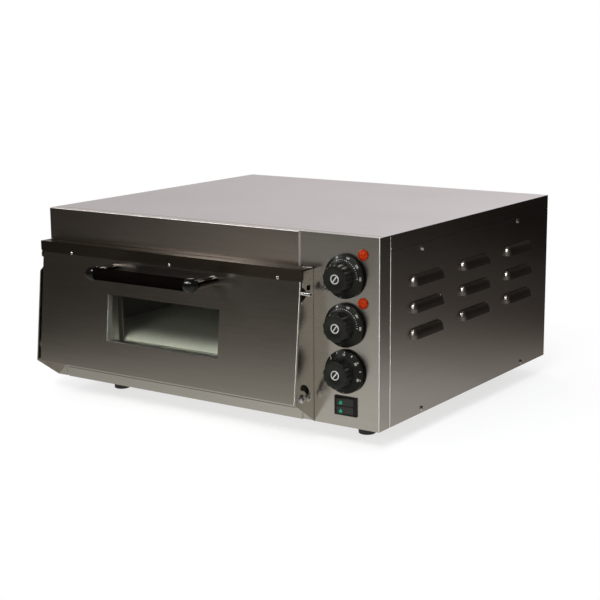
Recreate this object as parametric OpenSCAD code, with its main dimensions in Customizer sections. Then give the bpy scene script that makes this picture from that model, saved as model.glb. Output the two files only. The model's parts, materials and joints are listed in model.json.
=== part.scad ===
// Countertop pizza oven with one deck, a drop-down door and three dials.
// Millimetres, +X to the right, +Y to the back, +Z up, z = 0 on the worktop.

/* [Casing] */
// Width over the side panels
body_w = 560; // [540:1:640]
// Depth from the front plane to the rear panel
body_d = 497; // [480:1:600]
// Height of the casing without its feet
body_h = 251; // [248:1:262]
// Thickness of the casing sheets
sheet_t = 1.2; // [0.8:0.1:1.5]
// Height of the lip that the top cover turns down over the sides
lip_h = 20.2; // [14:0.2:26]
// Depth of the fold that front pieces turn back along the sides
wrap_d = 26; // [16:1:34]
// Depth of the fold that front pieces turn back over the top
top_fold = 12; // [8:1:20]
// Gap left along a seam between two sheets
seam = 0.3; // [0.2:0.1:0.6]
// Height of the upturned edges of the base pan
pan_h = 13.7; // [12:0.1:16]
// Clear width between the oven chamber and the left casing wall
wool_left = 30; // [24:1:40]

/* [Front] */
// Width of the control panel above the door's top rail
control_w = 120; // [118:1:130]
// Width of the control panel's face beside the door
control_face_w = 99.5; // [98:0.5:102]
// Height of the fascia over the door
fascia_h = 46; // [44:1:52]
// How far the fascia stands in front of the control panel
fascia_proud = 3; // [2:0.5:5]
// Width of the face of the left hinge post
post_w = 18; // [14:1:24]
// Thickness of the two hinge cheeks
cheek_t = 1.5; // [1.2:0.1:2]
// Reach of a cheek in front of the casing at its lower corner
cheek_reach = 43; // [42:0.5:46]
// Height of the cheek's lower corner
cheek_low = 29.8; // [28:0.1:31]

/* [Chamber] */
// Width of the control compartment, from the heat shield to the casing's right side
bay_w = 109; // [104:1:125]
// Width of the wool between the chamber and the heat shield
wool_right = 20; // [12:1:30]
// Distance from the chamber's rear wall to the casing's rear
wool_rear = 83.8; // [60:0.2:100]
// Height of the chamber floor over the casing's underside
chamber_floor = 40; // [36:1:42]
// Drop of the chamber's ceiling under the door's upper end
ceiling_drop = 20; // [16:1:24]
// Height of the lip between the chamber's floor and its mouth
mouth_lip = 15; // [10:1:18]
// Thickness of the chamber's sheet
liner_t = 1; // [0.8:0.1:1.5]
// Gap between the baking stone and the chamber's side walls
stone_gap = 2; // [1:0.5:6]
// Gap between the baking stone and the chamber's rear wall
stone_back = 7.2; // [4:0.2:20]
// Gap between the baking stone and the closed door
stone_front = 3; // [2:0.5:10]
// Thickness of the baking stone
stone_t = 11; // [10:1:18]
// Height of the rails that carry the stone
rail_h = 16; // [15:0.5:18]
// Width of the ledge that carries the stone
rail_w = 12; // [10:1:16]
// Diameter of the heating rods
rod_d = 8; // [6.5:0.5:8.5]
// Distance between neighbouring heating rods
rod_pitch = 80; // [60:1:90]
// Height of the lower rods over the chamber floor
rod_low = 7; // [6:0.5:8]
// Drop of the upper rods under the chamber ceiling
rod_high = 10; // [8:0.5:14]
// Air left between a wool block and the sheet beside it
wool_gap = 0.6; // [0.3:0.1:1]

/* [Door] */
// Gap between the door and each cheek
door_gap = 2.7; // [2:0.1:3]
// Backward lean of the door's skin from upright
door_lean = 5.65; // [5:0.05:6]
// Distance of the skin's top edge in front of the casing
door_top_y = 24; // [23.5:0.1:26]
// Height of the skin's lower edge
door_low = 29.9; // [29:0.1:31]
// Height of the face of the door's top rail
rail_face_h = 15.5; // [14:0.5:17]
// Thickness of the door's sheets
door_t = 1.2; // [0.8:0.1:1.4]
// Air between the closed door's inner panel and the front frame
door_air = 2.8; // [2.5:0.1:3.2]
// Depth of the inner panel's boss inside the chamber's mouth
boss_d = 7; // [4:0.5:9]
// Gap around that boss
boss_gap = 5; // [4.5:0.5:8]
// Distance of the hinge axis in front of the casing
pivot_y = 28.5; // [28:0.1:29.5]
// Height of the hinge axis
pivot_z = 36.2; // [36:0.1:38]
// Angle that the door opens through
door_swing = 90; // [80:1:92]
// Distance of the limit screws from the hinge axis
limit_r = 14.6; // [13:0.1:16]
// Diameter of the limit screws
limit_d = 6; // [4:0.5:6.5]
// Play of a limit screw across its slot
slot_play = 2; // [1:0.5:2.5]
// Distance of the first rivet from the rail's left end
rivet_start = 60; // [40:1:80]
// Distance of the last rivet from the rail's right end
rivet_stop = 39; // [20:1:60]
// Drop of the latch pin under the skin's top edge
latch_drop = 15.5; // [13.5:0.5:17]
// Distance of the latch pin's axis in front of the casing
latch_y = 22; // [21.5:0.1:23]
// How far the latch pin stands out from the cheek
latch_reach = 6.5; // [5:0.5:12]

/* [Window] */
// Width of the window's opening
window_w = 197.5; // [150:0.5:240]
// Height of the window's opening along the skin
window_h = 67; // [50:1:72]
// Distance of the window above the skin's lower edge
window_up = 43.2; // [40:0.2:48]
// Depth of the window's recess in front of the glass
recess_d = 10.7; // [8:0.1:14]
// Thickness of the glass
glass_t = 4; // [3:0.5:5]
// Edge of the glass that its frames hold
glass_edge = 5; // [4:0.5:8]

/* [Handle] */
// Length of the handle over its end caps
handle_l = 192; // [150:1:240]
// Diameter of the grip
grip_d = 17.4; // [15:0.2:22]
// Diameter of the end caps
cap_d = 20; // [18:0.5:24]
// Length of each end cap
cap_l = 17; // [12:1:22]
// Distance of the grip's axis in front of the casing
handle_y = 72; // [64:0.5:80]
// Drop of the grip's axis under the skin's top edge
handle_drop = 11.5; // [10.5:0.5:24]
// Diameter of the handle's posts
post_d = 12; // [10:0.5:14]

/* [Controls] */
// Distance of the dials from the casing's right side
knob_in = 50; // [47:0.5:56]
// Distance of the upper dial below the casing's top
knob_top = 52.7; // [50:0.1:56]
// Height of the lowest dial
knob_low = 74; // [73:0.5:80]
// Drop of the middle dial under the middle of the other two
knob_mid_drop = 1.3; // [0:0.1:2]
// Gap left between two dials at an even spacing
knob_gap = 4.1; // [3:0.1:12]
// Diameter of a dial's grip
knob_grip_d = 37; // [30:0.5:42]
// Distance of a dial's front from the control panel
knob_reach = 27; // [22:0.5:32]
// Number of finger flutes on a dial
flutes = 12; // [8:1:16]
// Diameter of the dials' shafts
shaft_d = 6; // [5:0.5:6.5]
// Radial play of a shaft in its bush
shaft_play = 0.05; // [0.02:0.01:0.08]
// Distance of the lamps from the casing's right side
lamp_in = 24; // [14:1:24]
// Height of each lamp over the even place of the dial beneath it
lamp_up = 29.3; // [28.5:0.1:31]
// Diameter of a lamp's lens
lamp_d = 14.5; // [12:0.5:15]
// Width of the switch's frame
switch_w = 33.6; // [31:0.1:36]
// Height of the switch's frame
switch_h = 25.4; // [24.5:0.1:27]
// Height of the switch's centre
switch_z = 27.9; // [24:0.1:30]
// Tilt of a rocker from its middle position
rocker_tilt = 6; // [4:0.5:7]

/* [Louvers] */
// Columns of louvers
louver_cols = 3; // [1:1:3]
// Rows of louvers
louver_rows = 3; // [1:1:4]
// Width of a louver at its top edge
louver_w = 66; // [50:1:80]
// Height of a louver
louver_h = 14; // [10:0.5:18]
// How far a louver stands out
louver_out = 8; // [4:0.5:9]
// Distance of the first louver's middle from the front plane
louver_y = 119.5; // [112:0.5:130]
// Distance of the last louver's middle from the rear
louver_rear = 103.5; // [96:0.5:120]
// Distance of the upper louvers' lower edges below the casing's top
louver_top = 73.7; // [60:0.1:80]
// Distance between the rows
louver_pitch_z = 35.4; // [30:0.2:38]

/* [Feet] */
// Height of the feet
foot_h = 28.5; // [20:0.5:40]
// Diameter of the feet
foot_d = 25; // [20:1:40]
// Distance of the feet's axes from the sides
foot_in_x = 62; // [40:1:80]
// Distance of the feet's axes from the front and the rear
foot_in_y = 72; // [50:1:90]

/* [Fasteners] */
// Diameter of the casing screws
screw_d = 4; // [3:0.5:5]
// Diameter of the casing screws' heads
head_d = 7.4; // [6.5:0.2:9]
// Length of the casing screws under their heads
screw_l = 7; // [5:0.5:8]
// Height of the casing screws' heads
head_h = 2.2; // [1.6:0.1:3]
// Diameter of the hinge screws
pivot_d = 5; // [4:0.5:5.5]
// Diameter of the hinge and limit screws' heads
hinge_head_d = 12; // [10:0.5:12.5]
// Radial play of screws in their holes
play = 0.1; // [0.05:0.05:0.2]
// Reach of the cable gland behind the rear panel
gland_l = 14; // [10:1:20]
// Diameter of the hole for a mains cable in the gland
gland_bore = 10; // [8:0.5:12]

/* [Hidden] */
$fn = 48;
EPS = 0.01;

// Casing planes. Local frame: x = 0 in the middle, y = 0 on the front plane, z = 0 under the casing.
x_right = body_w / 2;
x_left = -x_right;
x_in = x_right - sheet_t;
y_rear = body_d - sheet_t;
z_fascia = body_h - fascia_h;
z_lip = body_h - lip_h;
z_roof = body_h - sheet_t;
x_cheek = x_right - control_face_w;
x_fascia = x_right - control_w;
strip_low = z_lip - 15;
strip_top = z_lip + 9;
z_top_screw = z_lip - 6.5;
z_low_screw = 6;

// Chamber
x_shield = x_right - bay_w;
cx0 = x_left + wool_left;
cx1 = x_shield - wool_right - liner_t;
cy0 = sheet_t;
cy1 = body_d - wool_rear;
mouth_low = chamber_floor + mouth_lip;
chamber_top = z_fascia - ceiling_drop;
stone_y0 = boss_d + stone_front;
stone_y1 = cy1 - stone_back;
stone_z0 = chamber_floor + rail_h;
rail_y0 = cy0 + 29;
wool_x0 = x_left + screw_l + wool_gap;
wool_y1 = body_d - screw_l - wool_gap;
rod_y0 = (cy0 + cy1) / 2 - 1.5 * rod_pitch;
rod_x0 = cx0 + rod_pitch / 2 + rod_d / 2 + 5;
rod_x1 = cx1 - rod_pitch / 2 - rod_d / 2 - 40;
rod_end = x_shield + sheet_t + 12;
z_rod_low = chamber_floor + rod_low;
z_rod_high = chamber_top - rod_high;

// Door
door_x0 = x_left + cheek_t + door_gap;
door_x1 = x_cheek - cheek_t - door_gap;
door_xm = (door_x0 + door_x1) / 2;
rail_top = z_fascia;
door_top = rail_top - rail_face_h;
slope = tan(door_lean);
function skin_y(z) = -door_top_y - (door_top - z) * slope;
skin_l = (door_top - 0.3 - door_low) / cos(door_lean);
inner_y = -door_air - door_t;
rail_front = -door_top_y - 0.5;
rail_back = -fascia_proud - 0.6;
rail_x0 = x_left + 0.2;
rail_x1 = x_cheek - 0.2;
rivet_z = door_top + 1.9;
handle_z = door_top - handle_drop;
latch_z = door_top - latch_drop;
limit_angle = -2.7;
limit_pos = [-pivot_y + limit_r * cos(limit_angle), pivot_z + limit_r * sin(limit_angle)];
window_x0 = door_xm - window_w / 2;
latch_d = 5.5;
latch_flare = 1.2;
latch_head_l = 3.2;
nut_gap = 0.5;
inner_sight = 3;
louver_pitch_y = (body_d - louver_y - louver_rear) / max(1, louver_cols - 1);
notch_back = -latch_y + latch_d / 2 + 1.05;
grip_half = handle_l / 2 - cap_l;
post_x = handle_l / 2 - cap_l / 2;
post_y = skin_y(handle_z);
stud_l = 3;

// Controls
knob_x = x_right - knob_in;
knob_pitch = (body_h - knob_top - knob_low) / 2;
knob_d = knob_pitch - knob_gap;
knob_heights = [knob_low + 2 * knob_pitch, knob_low + knob_pitch - knob_mid_drop, knob_low];
lamp_x = x_right - lamp_in;
lamp_hole = lamp_d - 4;
bush_d = shaft_d + 4;
bush_y = -5.5;
nut_y = -2.2;
shaft_in = 12;
knob_back = -2.5;
switch_x = knob_x + 0.2;
flange_w = 5.4;
flange_h = 2.8;
well_w = switch_w - flange_w - 2.6;
well_h = (switch_h - flange_h - 2.6) / 2;
well_gap = 0.8;
rocker_w = well_w - 1.6;
rocker_h = well_h - 0.4;
rocker_y = 2;
rocker_pin = 1.6;
switch_back = 22;
lamp_back = 33;
housing_w = 44;
housing_h = 38;
timer_w = 40;
bracket_in = 30;
housing_depths = [30, 30, 36];
capillary_y = 20;
bulb_l = 80;
sensor_low_z = stone_z0 - 6;
sensor_high_z = chamber_top - 5;

// Wiring, mains entry and fasteners
gland_x = x_right - 55;
gland_z = 42;
stud_x = x_right - 92;
gland_thread = gland_bore + 6;
block_y = body_d - foot_in_y + 7;
block_l = 24;
block_h = 22;
wire_d = 6;
wire_x = x_in - 14;
wire_y = 50;
wire_z = sheet_t + block_h + 10;
side_screw_y = [[108, 393], [109, 413]];
rear_screw_x = x_right - 80;

// Placing: the origin is under the middle of the whole box, which the handle and the gland reach
front_y = -(body_d + gland_l - handle_y - cap_d / 2) / 2;

module at_casing() {
    translate([0, front_y, foot_h]) children();
}

// Children drawn flat in a y-z outline stand as a plate of thickness t whose left face is at x
module plate_yz(x, t) {
    translate([x, 0, 0]) rotate([90, 0, 90]) linear_extrude(t) children();
}

module box(x0, x1, y0, y1, z0, z1) {
    translate([x0, y0, z0]) cube([x1 - x0, y1 - y0, z1 - z0]);
}

// Cylinders along the axes, from a start to an end coordinate
module rod_x(x0, x1, y, z, d) {
    translate([x0, y, z]) rotate([0, 90, 0]) cylinder(h = x1 - x0, d = d);
}

module rod_y(y0, y1, x, z, d) {
    translate([x, y0, z]) rotate([-90, 0, 0]) cylinder(h = y1 - y0, d = d);
}

module rod_z(z0, z1, x, y, d) {
    translate([x, y, z0]) cylinder(h = z1 - z0, d = d);
}

// Children on the door's skin: local z runs up the skin from its lower edge, local y into the door
module on_skin() {
    translate([0, skin_y(door_low), door_low]) rotate([-door_lean, 0, 0]) children();
}

// ---- fastener holes shared by the pieces that they join ----

module side_screw_holes() {
    for (side = [-1, 1], y = side_screw_y[0])
        rod_x(side * x_right - 6, side * x_right + 6, y, z_top_screw, screw_d + 2 * play);
    for (side = [-1, 1], y = side_screw_y[1])
        rod_x(side * x_right - 6, side * x_right + 6, y, z_low_screw, screw_d + 2 * play);
}

module rear_screw_holes() {
    for (side = [-1, 1], z = [z_low_screw, z_top_screw])
        rod_y(body_d - 6, body_d + 6, side * rear_screw_x, z, screw_d + 2 * play);
}

function foot_places() = [
    for (sx = [-1, 1], y = [foot_in_y, body_d - foot_in_y]) [sx * (x_right - foot_in_x), y]
];

// ---- casing ----
module base_pan() {
    color("silver") difference() {
        union() {
            box(-x_in, x_in, sheet_t + seam, y_rear, 0, sheet_t);
            box(x_left + post_w + 5, x_cheek - post_w, -sheet_t, sheet_t + seam + EPS, 0, sheet_t);
            box(x_left + post_w + 5, x_cheek - post_w, -sheet_t, 0, 0, pan_h);
            for (side = [-1, 1])
                translate([side * (x_in - sheet_t / 2) - sheet_t / 2, wrap_d, 0])
                    cube([sheet_t, y_rear - wrap_d, pan_h]);
            box(-x_in, x_in, y_rear - sheet_t, y_rear, 0, pan_h);
        }
        for (p = foot_places()) rod_z(-1, sheet_t + 1, p[0], p[1], pivot_d + 2 * play);
        side_screw_holes();
        rear_screw_holes();
    }
}

module rear_panel() {
    color("silver") difference() {
        box(-x_in, x_in, y_rear, body_d, 0, z_lip - seam);
        rear_screw_holes();
        rod_y(y_rear - 1, body_d + 1, gland_x, gland_z, gland_thread + 2 * play);
        rod_y(y_rear - 1, body_d + 1, stud_x, gland_z, pivot_d + 2 * play);
        for (i = [0:6])
            box(x_shield + 20, x_in - 20, y_rear - 1, body_d + 1, z_lip - 58 - i * 12, z_lip - 54 - i * 12);
    }
}

module side_sheet(side) {
    translate([side * (x_right - sheet_t / 2) - sheet_t / 2, wrap_d + seam, 0])
        cube([sheet_t, body_d - wrap_d - seam, z_lip - seam]);
}

module left_side_panel() {
    color("silver") difference() {
        side_sheet(-1);
        side_screw_holes();
    }
}

// Outline of a louver across its hood: r runs outward, the second value up
function louver_arc(out, h) = [for (i = [0:4]) [out * cos(i * 22.5), h * sin(i * 22.5)]];

module louver_hood(out, h) {
    outline = concat([[0, 0]], louver_arc(out, h));
    rotate([90, 0, 0]) translate([0, 0, -louver_w / 2]) linear_extrude(louver_w) polygon(outline);
    for (end = [-1, 1])
        translate([0, end * louver_w / 2, 0]) rotate([0, 0, end > 0 ? 0 : -90])
            rotate_extrude(angle = 90) polygon(outline);
}

module each_louver() {
    for (i = [0 : louver_cols - 1], j = [0 : louver_rows - 1])
        translate([x_right, louver_y + i * louver_pitch_y, body_h - louver_top - j * louver_pitch_z]) children();
}

module right_side_panel() {
    color("dimgray") difference() {
        union() {
            side_sheet(1);
            each_louver() louver_hood(louver_out, louver_h);
        }
        each_louver() translate([-EPS, 0, -EPS]) {
            louver_hood(louver_out - sheet_t, louver_h - 1.5 * sheet_t);
            translate([-2 * sheet_t, -louver_w / 2, 0]) cube([3 * sheet_t, louver_w, louver_h - 3 * sheet_t]);
        }
        side_screw_holes();
    }
}

module top_cover() {
    y0 = top_fold + seam;
    color("lightgray") difference() {
        union() {
            box(x_left, x_right, y0, body_d, z_roof, body_h);
            for (side = [-1, 1]) {
                translate([side * (x_right - sheet_t / 2) - sheet_t / 2, wrap_d + seam, z_lip])
                    cube([sheet_t, body_d - wrap_d - seam, z_roof - z_lip]);
                translate([side * (x_in - sheet_t / 2) - sheet_t / 2, wrap_d + seam, strip_low])
                    cube([sheet_t, y_rear - wrap_d - seam, strip_top - strip_low]);
            }
            box(x_left, x_right, y_rear, body_d, z_lip, z_roof);
            box(-x_in, x_in, y_rear - sheet_t, y_rear, strip_low, strip_top);
        }
        side_screw_holes();
        rear_screw_holes();
    }
}

module fascia() {
    color("dimgray") {
        box(x_left, x_fascia, -fascia_proud, sheet_t - fascia_proud, z_fascia, body_h);
        box(x_fascia - sheet_t, x_fascia, -fascia_proud, top_fold, z_fascia, body_h);
        box(x_left, x_left + sheet_t, -fascia_proud, wrap_d, z_fascia, z_roof);
        box(x_left, x_fascia, -fascia_proud, sheet_t, z_fascia, z_fascia + sheet_t);
        box(x_left, x_fascia, -fascia_proud, top_fold, z_roof, body_h);
    }
}

// Outline of a hinge cheek from the casing's front plane to its leaning front edge
module cheek_outline() {
    cheek_top = rail_top - door_t - 0.8;
    behind_rail = rail_front + door_t + 0.5;
    polygon([
        [0, 0], [-cheek_reach, cheek_low],
        [notch_back - 10.4, latch_z - 12.5], [notch_back, latch_z - 5.4],
        [notch_back, latch_z + 4.4], [-door_top_y, door_top - 7.5],
        [-door_top_y, door_top - 1.1], [behind_rail, door_top - 0.6],
        [behind_rail, cheek_top], [0, cheek_top]
    ]);
}

// Pivot hole, arc slot of the limit screw and the punched hole behind the latch
module cheek_cuts(x) {
    slot_w = limit_d + slot_play;
    rod_x(x - 3, x + 3, -pivot_y, pivot_z, pivot_d + 2 * play);
    translate([x, -pivot_y, pivot_z]) rotate([90, 0, 90]) {
        rotate([0, 0, limit_angle]) rotate_extrude(angle = door_swing)
            translate([limit_r - slot_w / 2, -3]) square([slot_w, 6]);
        for (a = [limit_angle, limit_angle + door_swing])
            rotate([0, 0, a]) translate([limit_r, 0, -3]) cylinder(h = 6, d = slot_w);
    }
    box(x - 3, x + 3, -latch_y + 6.5, -latch_y + 14.5, latch_z + 3, latch_z + 9.5);
}

module control_panel() {
    color("gray") difference() {
        union() {
            box(x_cheek - cheek_t, x_right, 0, sheet_t, 0, z_fascia);
            box(x_fascia + seam, x_right, 0, sheet_t, z_fascia, body_h);
            box(x_in, x_right, 0, wrap_d, 0, z_roof);
            box(x_fascia + seam, x_right, 0, top_fold, z_roof, body_h);
            plate_yz(x_cheek - cheek_t, cheek_t) cheek_outline();
        }
        cheek_cuts(x_cheek);
        for (z = knob_heights) rod_y(-1, sheet_t + 1, knob_x, z, bush_d + 2 * play);
        for (z = lamp_heights()) rod_y(-1, sheet_t + 1, lamp_x, z, lamp_hole + 2 * play);
        switch_block(-1, sheet_t + 1, flange_w - 2 * play, flange_h - 2 * play);
    }
}

function lamp_heights() = [for (i = [2, 1]) knob_low + i * knob_pitch + lamp_up];

module left_hinge_post() {
    color("gray") difference() {
        union() {
            plate_yz(x_left, cheek_t) cheek_outline();
            box(x_left, x_left + sheet_t, 0, wrap_d, 0, z_fascia - seam);
            box(x_left, x_left + post_w, 0, sheet_t, 0, z_fascia - seam);
        }
        cheek_cuts(x_left);
    }
}

module front_frame() {
    color("silver") difference() {
        box(x_left + post_w + seam, x_cheek - cheek_t - seam, 0, sheet_t, sheet_t + seam, z_fascia - seam);
        box(cx0, cx1, -1, sheet_t + 1, mouth_low, chamber_top);
    }
}

module heat_shield() {
    color("silver") difference() {
        box(x_shield, x_shield + sheet_t, 4, y_rear - sheet_t - 1, sheet_t, z_roof - 1);
        chamber_lead_holes();
    }
}

// ---- chamber ----
// Holes for the rods' cold ends and the two capillary tubes through all that lies beside the chamber
module chamber_lead_holes() {
    for (z = [z_rod_low, z_rod_high], y = [rod_y0, rod_y0 + 3 * rod_pitch])
        rod_x(cx1 - rail_w - 1, x_shield + 3, y, z, rod_d + 1);
    for (z = [sensor_low_z, sensor_high_z]) rod_x(cx1 - 1, x_shield + 3, capillary_y, z, 4);
}

module chamber_liner() {
    t = liner_t;
    color("gainsboro") difference() {
        box(cx0 - t, cx1 + t, cy0, cy1 + t, chamber_floor - t, chamber_top + t);
        box(cx0, cx1, cy0 - 1, cy1, chamber_floor, chamber_top);
        chamber_lead_holes();
    }
}

module baking_stone() {
    color("wheat") box(cx0 + stone_gap, cx1 - stone_gap, stone_y0, stone_y1, stone_z0, stone_z0 + stone_t);
}

module stone_rails() {
    y1 = stone_y1 - 2;
    color("gray") difference() {
        for (side = [0, 1]) {
            x_wall = side == 0 ? cx0 : cx1 - liner_t;
            x_ledge = side == 0 ? cx0 : cx1 - rail_w;
            box(x_wall, x_wall + liner_t, rail_y0, y1, chamber_floor, stone_z0);
            box(x_ledge, x_ledge + rail_w, rail_y0, y1, stone_z0 - liner_t, stone_z0);
        }
        chamber_lead_holes();
    }
}

// Four rods joined by three half-circle bends, with both ends in the control compartment
module heating_rod(z) {
    bend = rod_pitch / 2;
    for (i = [0, 3]) rod_x(rod_x0, rod_end, rod_y0 + i * rod_pitch, z, rod_d);
    for (i = [1, 2]) rod_x(rod_x0, rod_x1, rod_y0 + i * rod_pitch, z, rod_d);
    for (i = [0, 2])
        translate([rod_x0, rod_y0 + i * rod_pitch + bend, z]) rotate([0, 0, 90])
            rotate_extrude(angle = 180) translate([bend, 0]) circle(d = rod_d);
    translate([rod_x1, rod_y0 + rod_pitch + bend, z]) rotate([0, 0, -90])
        rotate_extrude(angle = 180) translate([bend, 0]) circle(d = rod_d);
    for (i = [0, 3]) rod_x(rod_end - EPS, rod_end + 8, rod_y0 + i * rod_pitch, z, rod_d / 2);
}

module upper_element() {
    color("darkgray") heating_rod(z_rod_high);
}

module lower_element() {
    color("darkgray") heating_rod(z_rod_low);
}

module element_brackets() {
    hole = rod_d + 4 * play;
    color("gray") for (x = [rod_x0 + bracket_in, rod_x1 - bracket_in], i = [0:3]) {
        y = rod_y0 + i * rod_pitch;
        difference() {
            box(x, x + 2, y - rod_d, y + rod_d, chamber_floor, z_rod_low + rod_d * 0.8);
            rod_x(x - 1, x + 3, y, z_rod_low, hole);
        }
        difference() {
            box(x, x + 2, y - rod_d, y + rod_d, z_rod_high - rod_d * 0.8, chamber_top);
            rod_x(x - 1, x + 3, y, z_rod_high, hole);
        }
    }
}

module top_insulation() {
    color("khaki") box(wool_x0, x_shield - wool_gap, top_fold + 2, wool_y1,
        chamber_top + liner_t + wool_gap, z_roof - 3);
}

module bottom_insulation() {
    color("khaki") box(wool_x0, x_shield - wool_gap, wrap_d, wool_y1,
        sheet_t + 7, chamber_floor - liner_t - wool_gap);
}

module side_insulation() {
    z0 = chamber_floor - liner_t;
    z1 = chamber_top + liner_t;
    color("khaki") difference() {
        union() {
            box(wool_x0, cx0 - liner_t - wool_gap, wrap_d, wool_y1, z0, z1);
            box(cx1 + liner_t + wool_gap, x_shield - wool_gap, wrap_d - 12, wool_y1, z0, z1);
        }
        chamber_lead_holes();
    }
}

module rear_insulation() {
    color("khaki") box(cx0 - liner_t, cx1 + liner_t, cy1 + liner_t + wool_gap, wool_y1,
        chamber_floor - liner_t, chamber_top + liner_t);
}

// ---- controls ----
// A dial's housing behind the panel, with a threaded bush and nut through it
module dial_housing(z, w, h, d) {
    difference() {
        union() {
            box(knob_x - w / 2, knob_x + w / 2, sheet_t, sheet_t + d, z - h / 2, z + h / 2);
            rod_y(bush_y, sheet_t + EPS, knob_x, z, bush_d);
            translate([knob_x, 0, z]) rotate([90, 0, 0]) cylinder(h = -nut_y, d = bush_d + 4, $fn = 6);
            for (dx = [-w / 4, w / 4])
                box(knob_x + dx - 3, knob_x + dx + 3, sheet_t + d - EPS, sheet_t + d + 9, z - 0.4, z + 0.4);
        }
        rod_y(bush_y - 1, shaft_in + 1, knob_x, z, shaft_d + 2 * shaft_play);
    }
}

module upper_thermostat() {
    z = knob_heights[0];
    color("burlywood") dial_housing(z, housing_w, housing_h, housing_depths[0]);
    color("peru") {
        rod_x(cx1 - 10, knob_x - housing_w / 2 + EPS, capillary_y, sensor_high_z, 2);
        rod_x(cx1 - 10 - bulb_l, cx1 - 10 + EPS, capillary_y, sensor_high_z, 6);
    }
}

module lower_thermostat() {
    z = knob_heights[1];
    x_drop = x_shield + sheet_t + 12;
    z_out = z - 14;
    color("burlywood") dial_housing(z, housing_w, housing_h, housing_depths[0]);
    color("peru") {
        rod_x(x_drop, knob_x - housing_w / 2 + EPS, capillary_y, z_out, 2);
        rod_z(sensor_low_z, z_out, x_drop, capillary_y, 2);
        for (zz = [sensor_low_z, z_out]) translate([x_drop, capillary_y, zz]) sphere(d = 2);
        rod_x(cx1 - 10, x_drop, capillary_y, sensor_low_z, 2);
        rod_x(cx1 - 10 - bulb_l, cx1 - 10 + EPS, capillary_y, sensor_low_z, 6);
    }
}

module timer() {
    color("whitesmoke") dial_housing(knob_heights[2], timer_w, timer_w, housing_depths[2]);
}

module safety_cutout() {
    x0 = x_shield + sheet_t;
    y = (cy0 + cy1) / 2;
    z = chamber_top - 55;
    color("ivory") {
        rod_x(x0, x0 + 10, y, z, 22);
        rod_x(x0 + 10 - EPS, x0 + 13, y, z, 6);
        box(x0, x0 + 1, y - 24, y + 24, z - 6, z + 6);
    }
}

// A panel lamp: a domed lens on a collar, a body through the panel and two blades
module panel_lamp(z) {
    lens_r = lamp_d / 2;
    collar = 1.2;
    dome = 4.6;
    ball = (lens_r * lens_r + dome * dome) / (2 * dome);
    spread = asin(lens_r / ball);
    lens = concat([[0, 0], [lens_r, 0]],
        [for (i = [6 : -1 : 0]) [ball * sin(i * spread / 6), collar + dome - ball * (1 - cos(i * spread / 6))]]);
    color("orangered") translate([lamp_x, 0, z]) rotate([90, 0, 0]) rotate_extrude() polygon(lens);
    color("ivory") rod_y(-EPS, lamp_back - 7, lamp_x, z, lamp_hole);
    color("silver") for (dz = [-2, 2])
        box(lamp_x - 1.5, lamp_x + 1.5, lamp_back - 7 - EPS, lamp_back, z + dz - 0.3, z + dz + 0.3);
}

module upper_lamp() {
    panel_lamp(lamp_heights()[0]);
}

module lower_lamp() {
    panel_lamp(lamp_heights()[1]);
}

// The switch's block between two depths, smaller than its frame by dw and dh
module switch_block(y0, y1, dw, dh) {
    w = switch_w - dw;
    h = switch_h - dh;
    box(switch_x - w / 2, switch_x + w / 2, y0, y1, switch_z - h / 2, switch_z + h / 2);
}

function rocker_z(i) = switch_z + (i == 0 ? 1 : -1) * (well_h + well_gap) / 2;

module switch_body() {
    color("#202020") difference() {
        union() {
            switch_block(-2, 0, 0, 0);
            switch_block(-EPS, switch_back, flange_w, flange_h);
            for (dx = [-7, 0, 7], i = [0, 1])
                box(switch_x + dx - 2.4, switch_x + dx + 2.4, switch_back - EPS, switch_back + 8,
                    rocker_z(i) - 0.4, rocker_z(i) + 0.4);
        }
        for (i = [0, 1]) {
            z = rocker_z(i);
            box(switch_x - well_w / 2, switch_x + well_w / 2, -3, 10, z - well_h / 2, z + well_h / 2);
            rod_z(z - well_h / 2 - 0.35, z + well_h / 2 + 0.35, switch_x, rocker_y, rocker_pin + 2 * shaft_play);
        }
    }
}

module rocker(i) {
    z = rocker_z(i);
    w = rocker_w / 2;
    color("#181818") translate([switch_x, rocker_y, z]) rotate([0, 0, rocker_tilt]) {
        translate([0, 0, -rocker_h / 2]) linear_extrude(rocker_h) polygon([
            [-w, -5.8], [-w + 3, -5.6], [0, -4.4], [w - 3, -5.6], [w, -5.8],
            [w, -1], [5, 3.2], [-5, 3.2], [-w, -1]
        ]);
        translate([0, 0, -well_h / 2 - 0.2]) cylinder(h = well_h + 0.4, d = rocker_pin);
    }
}

module upper_rocker() {
    rocker(0);
}

module lower_rocker() {
    rocker(1);
}

module terminal_block() {
    poles = 5;
    pole_w = 11;
    x0 = gland_x - poles * pole_w / 2;
    color("ivory") difference() {
        box(x0, x0 + poles * pole_w, block_y, block_y + block_l, sheet_t, sheet_t + block_h);
        for (i = [0 : poles - 1], y = [0.3, 0.7])
            rod_z(sheet_t + block_h / 2, sheet_t + block_h + 1, x0 + (i + 0.5) * pole_w, block_y + y * block_l, 4);
    }
}

// A branch from the loom's upright to the back of a control
module branch(x, z, y_back) {
    rod_x(x, wire_x, wire_y, z, wire_d);
    rod_y(y_back, wire_y, x, z, wire_d);
    translate([x, wire_y, z]) sphere(d = wire_d);
}

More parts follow.
